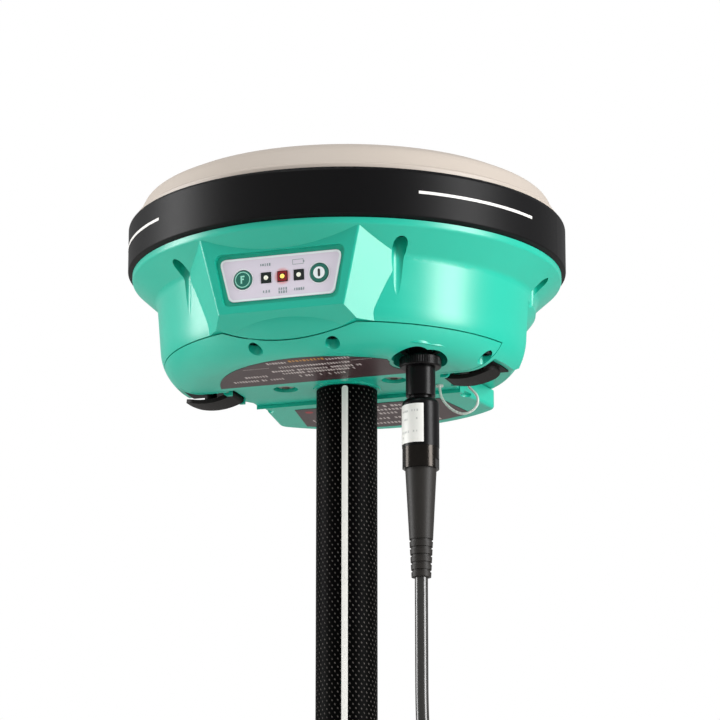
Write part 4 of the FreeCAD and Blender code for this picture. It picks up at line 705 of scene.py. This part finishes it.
def printKeys():  # a thin ring and a plain letter on the left key, a disc and an upright bar on the right one
    face = keys["face"] - keys["print"]
    place = onPanel(-keys["spacing"] / 2, face)
    newPiece("function_key_ring", ringMesh("function_key_ring", *keys["thinRing"], keys["ringSides"], place),
             mintInk, "function_key")
    shape = keys["letter"]
    left, right, top, stroke = -shape["width"] / 2, shape["width"] / 2, shape["height"] / 2, shape["stroke"]
    stem, armEnd = left + stroke, right - shape["armShort"]
    armLow, armTop = -stroke / 2 + shape["armLift"], stroke / 2 + shape["armLift"]
    letter = [[(left, -top), (stem, -top), (stem, top), (left, top)],
              [(stem, top - stroke), (right, top - stroke), (right, top), (stem, top)],
              [(stem, armLow), (armEnd, armLow), (armEnd, armTop), (stem, armTop)]]
    newPiece("function_key_legend", platesMesh("function_key_legend", letter, place), mintInk, "function_key")
    x = keys["spacing"] / 2
    disc = ringMesh("power_key_disc", keys["disc"], 0, keys["discSides"], onPanel(x, face))
    newPiece("power_key_disc", disc, paleInk, "power_key")
    half, tall = keys["bar"]
    bar = roundBox(-half, half, -tall, tall, keys["barRound"])
    newPiece("power_key_bar", platesMesh("power_key_bar", [bar], onPanel(x, face - keys["print"])),
             darkInk, "power_key")


def domeMesh(name, place):  # a lamp's low round lens
    rings, count = lamps["rings"], lamps["around"]
    mesh = bpy.data.meshes.new(name)
    made = bmesh.new()
    last = None
    for i in range(rings):
        angle = math.pi / 2 * i / rings
        radius, out = lamps["radius"] * math.cos(angle), lamps["dome"] * math.sin(angle)
        rim = [made.verts.new(place @ (aroundAxis(radius, j / count, out) * mm)) for j in range(count)]
        if last:
            for j in range(count):
                made.faces.new((last[j], last[(j + 1) % count], rim[(j + 1) % count], rim[j]))
        last = rim
    tip = made.verts.new(place @ (Vector((0, -lamps["dome"], 0)) * mm))
    for j in range(count):
        made.faces.new((last[j], last[(j + 1) % count], tip))
    bmesh.ops.recalc_face_normals(made, faces=made.faces)
    made.to_mesh(mesh)
    made.free()
    return mesh


def addLamps():
    for name, x, material in zip(("left", "middle", "right"), lamps["places"], (paleGlowLens, litLens, paleGlowLens)):
        lens = domeMesh("lamp_lens_" + name, onPanel(x, lamps["face"]))
        newPiece("lamp_lens_" + name, lens, material, smooth=True)
    wide, hole = lamps["bezel"], lamps["bezelHole"]
    strip = borderStrip(roundBox(-wide, wide, -wide, wide, lamps["bezelRound"], 3),
                        roundBox(-hole, hole, -hole, hole, lamps["holeRound"], 3))
    place = onPanel(lamps["places"][1], lamps["face"] - lamps["proud"])
    newPiece("lamp_bezel_lit", platesMesh("lamp_bezel_lit", strip, place), litBezel)


# rows as x, z and length; the battery's outline as bars from x to x and from z to z, about its place
captions = {
    "rows": [(-6.6, 5.35, 3.8), (-6.4, -5.6, 2.4), (0.6, -5.05, 3.0), (0.6, -6.35, 3.0), (7.6, -5.7, 3.8)],
    "proud": 0.03, "height": 1.25, "pitch": 0.9, "seed": 5, "battery": (7.6, 5.35),
    "bars": [(-2.4, 1.9, 0.85, 1.05), (-2.4, 1.9, -1.05, -0.85), (-2.6, -2.4, -1.05, 1.05),
             (1.9, 2.1, -1.05, 1.05), (2.1, 2.5, -0.4, 0.4)]}


def printCaptions():  # short rows of marks over and under the lamps, and a plain battery outline
    top = panel["film"] - captions["proud"]
    rows = []
    for x, z, length in captions["rows"]:
        ends = [panelPlace @ (Vector((x + s * length / 2, top, z)) * mm) for s in (-1, 1)]
        rows.append([end / mm for end in ends])
    values = {"Height": captions["height"] * mm, "Pitch": captions["pitch"] * mm, "Gaps": 0.0,
              "Seed": captions["seed"], "Tilt": math.pi / 2, "Ink": greyInk}
    runTree(printTree, "panel_captions", lineMesh("panel_captions", rows), values, greyInk)
    x, z = captions["battery"]
    bars = [[(x + a, z + c), (x + b, z + c), (x + b, z + d), (x + a, z + d)]
            for a, b, c, d in captions["bars"]]
    newPiece("battery_mark", platesMesh("battery_mark", bars, onPanel(0, top)), greyInk)


stripes = {
    "radius": 92.5, "proud": 0.04, "low": 60.2, "high": 61.4, "from": 37.3, "to": 74.2, "steps": 40}


def printBandStripes():  # the band's white line, either side of the places left bare
    radius, steps = stripes["radius"] + stripes["proud"], stripes["steps"]
    for name, side in (("left", -1), ("right", 1)):
        points, faces = [], []
        for i in range(steps + 1):
            angle = side * math.radians(stripes["from"] + (stripes["to"] - stripes["from"]) * i / steps)
            for z in (stripes["low"], stripes["high"]):
                points.append(Vector((radius * math.sin(angle), -radius * math.cos(angle), base + z)) * mm)
        for i in range(steps):
            quad = (2 * i, 2 * i + 2, 2 * i + 3, 2 * i + 1)
            faces.append(quad if side > 0 else quad[::-1])
        mesh = bpy.data.meshes.new("band_stripe_" + name)
        mesh.from_pydata(points, [], faces)
        newPiece("band_stripe_" + name, mesh, whiteInk)


def ridgeRing(name, x, y, z, radius, count):  # one point for each ridge of a knurl
    ring = bpy.data.meshes.new(name)
    turns = [2 * math.pi * i / count for i in range(count)]
    ring.from_pydata([Vector((x + radius * math.sin(a), y - radius * math.cos(a), z)) * mm for a in turns],
                     [], [])
    return ring


# the plug: its knurled sleeve, and the print round its wrap as angle from, angle to and z
plug = {
    "x": 44.9, "y": -38.2, "ridgeCircle": 8.38, "ridges": 56, "ridgeWidth": 0.42, "middle": -0.2, "tall": 2.9,
    "wrapRadius": 7.7, "markHeight": 1.0, "markPitch": 0.8, "gaps": 0.2, "seed": 11, "steps": 8,
    "wrapRows": [(-50, -26, -21.7), (-9, 8, -21.6), (-48, -28, -25.1), (-10, 6, -25.0), (-50, -22, -30.3),
                 (-46, -36, -32.4), (-4, 6, -30.2)]}


def dressPlug():
    x, y, z = plug["x"], plug["y"], base + plug["middle"]
    values = {"Middle": Vector((x, y, z)) * mm, "Width": plug["ridgeWidth"] * mm, "Height": plug["tall"] * mm,
              "Metal": plated}
    ring = ridgeRing("sleeve_knurl", x, y, z, plug["ridgeCircle"], plug["ridges"])
    runTree(ridgeTree, "sleeve_knurl", ring, values, plated, "plug_sleeve")
    lines = []
    for start, end, row in plug["wrapRows"]:
        turns = [math.radians(start + (end - start) * i / plug["steps"]) for i in range(plug["steps"] + 1)]
        lines.append([(x + plug["wrapRadius"] * math.sin(a), y - plug["wrapRadius"] * math.cos(a), base + row)
                      for a in turns])
    values = {"Height": plug["markHeight"] * mm, "Pitch": plug["markPitch"] * mm, "Gaps": plug["gaps"],
              "Seed": plug["seed"], "Tilt": math.pi / 2, "Ink": faintInk}
    runTree(printTree, "cable_wrap_print", lineMesh("cable_wrap_print", lines), values, faintInk)


foot = {"ridgeCircle": 14.05, "ridges": 72, "ridgeWidth": 0.55, "middle": 17.0, "tall": 14.0}


def dressFoot():
    z = foot["middle"]
    values = {"Middle": Vector((0, 0, z)) * mm, "Width": foot["ridgeWidth"] * mm, "Height": foot["tall"] * mm,
              "Metal": anodised}
    ring = ridgeRing("foot_knurl", 0, 0, z, foot["ridgeCircle"], foot["ridges"])
    runTree(ridgeTree, "foot_knurl", ring, values, anodised)


# the main board's grid, and what its parts keep clear of: both cans as y from and to, and the four posts
board = {
    "top": 41.6, "inner": 18.0, "radius": 62.0, "pitch": 6.5, "canHalf": 31.0, "cans": [(-50, -10), (8, 52)],
    "postReach": 48.0, "posts": (45, 135, 225, 315), "postClear": 6.0, "size": 4.0, "share": 0.62, "seed": 3}


def isClear(x, y):
    onCan = abs(x) < board["canHalf"] and any(low < y < high for low, high in board["cans"])
    posts = [(board["postReach"] * math.sin(math.radians(a)), -board["postReach"] * math.cos(math.radians(a)))
             for a in board["posts"]]
    nearPost = min(math.hypot(x - px, y - py) for px, py in posts) < board["postClear"]
    return board["inner"] < math.hypot(x, y) < board["radius"] and not onCan and not nearPost


def dressBoard():
    count = int(board["radius"] / board["pitch"])
    steps = [i * board["pitch"] for i in range(-count, count + 1)]
    mesh = bpy.data.meshes.new("board_chips")
    places = [Vector((x, y, base + board["top"])) * mm for x in steps for y in steps if isClear(x, y)]
    mesh.from_pydata(places, [], [])
    values = {"Seed": board["seed"], "Size": board["size"] * mm, "Share": board["share"],
              "Finish": blackNylon}
    runTree(chipTree, "board_chips", mesh, values, blackNylon)


printPanel()
printKeys()
addLamps()
printCaptions()
print("panel printed")
printLabels()
printBandStripes()
print("labels and band printed")
dressPlug()
dressFoot()
dressBoard()
print("plug, foot and board detailed")


# lamps as degrees round from the front and up, metres and watts, aimed at a target in mm over the seat;
# the floor's drop and reach are in metres
light = {
    "world": 0.42, "target": 35.0,
    "left": {"turn": -76, "rise": 10, "distance": 1.3, "wide": 0.45, "tall": 1.1, "power": 15.0},
    "right": {"turn": 81, "rise": 8, "distance": 1.3, "wide": 0.5, "tall": 1.0, "power": 20.0},
    "above": {"turn": -15, "rise": 55, "distance": 1.4, "wide": 1.0, "tall": 1.0, "power": 7.0},
    "floorDrop": 0.16, "floorReach": 6.0, "floorLift": 0.3, "floorColour": "#dad8d5"}


def makeWorld():  # a white backdrop, and a softer white for what lights the object
    world = bpy.data.worlds.new("studio")
    bpy.context.scene.world = world
    world.use_nodes = True
    tree = world.node_tree
    tree.nodes.clear()
    path = addNode(tree, "ShaderNodeLightPath")
    seen = addNode(tree, "ShaderNodeMath", {"operation": "MAXIMUM"},
                   {0: path.outputs["Is Camera Ray"], 1: path.outputs["Is Transmission Ray"]})
    soft = addNode(tree, "ShaderNodeBackground", {"Color": (1, 1, 1, 1), "Strength": light["world"]})
    white = addNode(tree, "ShaderNodeBackground", {"Color": (1, 1, 1, 1), "Strength": 1.0})
    mix = addNode(tree, "ShaderNodeMixShader", None,
                  {0: seen.outputs[0], 1: soft.outputs[0], 2: white.outputs[0]})
    addNode(tree, "ShaderNodeOutputWorld", None, {0: mix.outputs[0]})


def makeLamps():
    target = Vector((0, 0, seatZ + light["target"] * mm))
    for name in ("left", "right", "above"):
        lamp = light[name]
        turn, rise = math.radians(lamp["turn"]), math.radians(lamp["rise"])
        out = Vector((math.sin(turn) * math.cos(rise), -math.cos(turn) * math.cos(rise), math.sin(rise)))
        data = bpy.data.lights.new(name, "AREA")
        data.shape = "RECTANGLE"
        data.size = lamp["wide"]
        data.size_y = lamp["tall"]
        data.energy = lamp["power"]
        piece = bpy.data.objects.new(name, data)
        piece.location = target + out * lamp["distance"]
        piece.rotation_euler = (-out).to_track_quat("-Z", "Y").to_euler()
        bpy.context.scene.collection.objects.link(piece)


def makeFloor():  # pale, lifted a little where it is seen directly, and open from below so it hides nothing
    reach, drop = light["floorReach"], -light["floorDrop"]
    corners = [(-reach, -reach, drop), (reach, -reach, drop), (reach, reach, drop), (-reach, reach, drop)]
    mesh = bpy.data.meshes.new("floor")
    mesh.from_pydata(corners, [], [(0, 1, 2, 3)])
    material, tree, shader = startMaterial("paleFloor", light["floorColour"], 0.7)
    path = addNode(tree, "ShaderNodeLightPath")
    lifted = addNode(tree, "ShaderNodeMath", {"operation": "MULTIPLY", 1: light["floorLift"]},
                     {0: path.outputs["Is Camera Ray"]})
    tree.links.new(lifted.outputs[0], shader.inputs["Emission Strength"])
    shader.inputs["Emission Color"].default_value = linear("#ffffff")
    side = addNode(tree, "ShaderNodeNewGeometry")
    clear = addNode(tree, "ShaderNodeBsdfTransparent")
    oneSided = addNode(tree, "ShaderNodeMixShader", None,
                       {0: side.outputs["Backfacing"], 1: shader.outputs[0], 2: clear.outputs[0]})
    tree.links.new(oneSided.outputs[0], tree.nodes["Material Output"].inputs["Surface"])
    mesh.materials.append(material)
    floor = bpy.data.objects.new("floor", mesh)
    bpy.context.scene.collection.objects.link(floor)


makeWorld()
makeLamps()
makeFloor()
bpy.context.scene.view_settings.view_transform = "Standard"
print("light set")
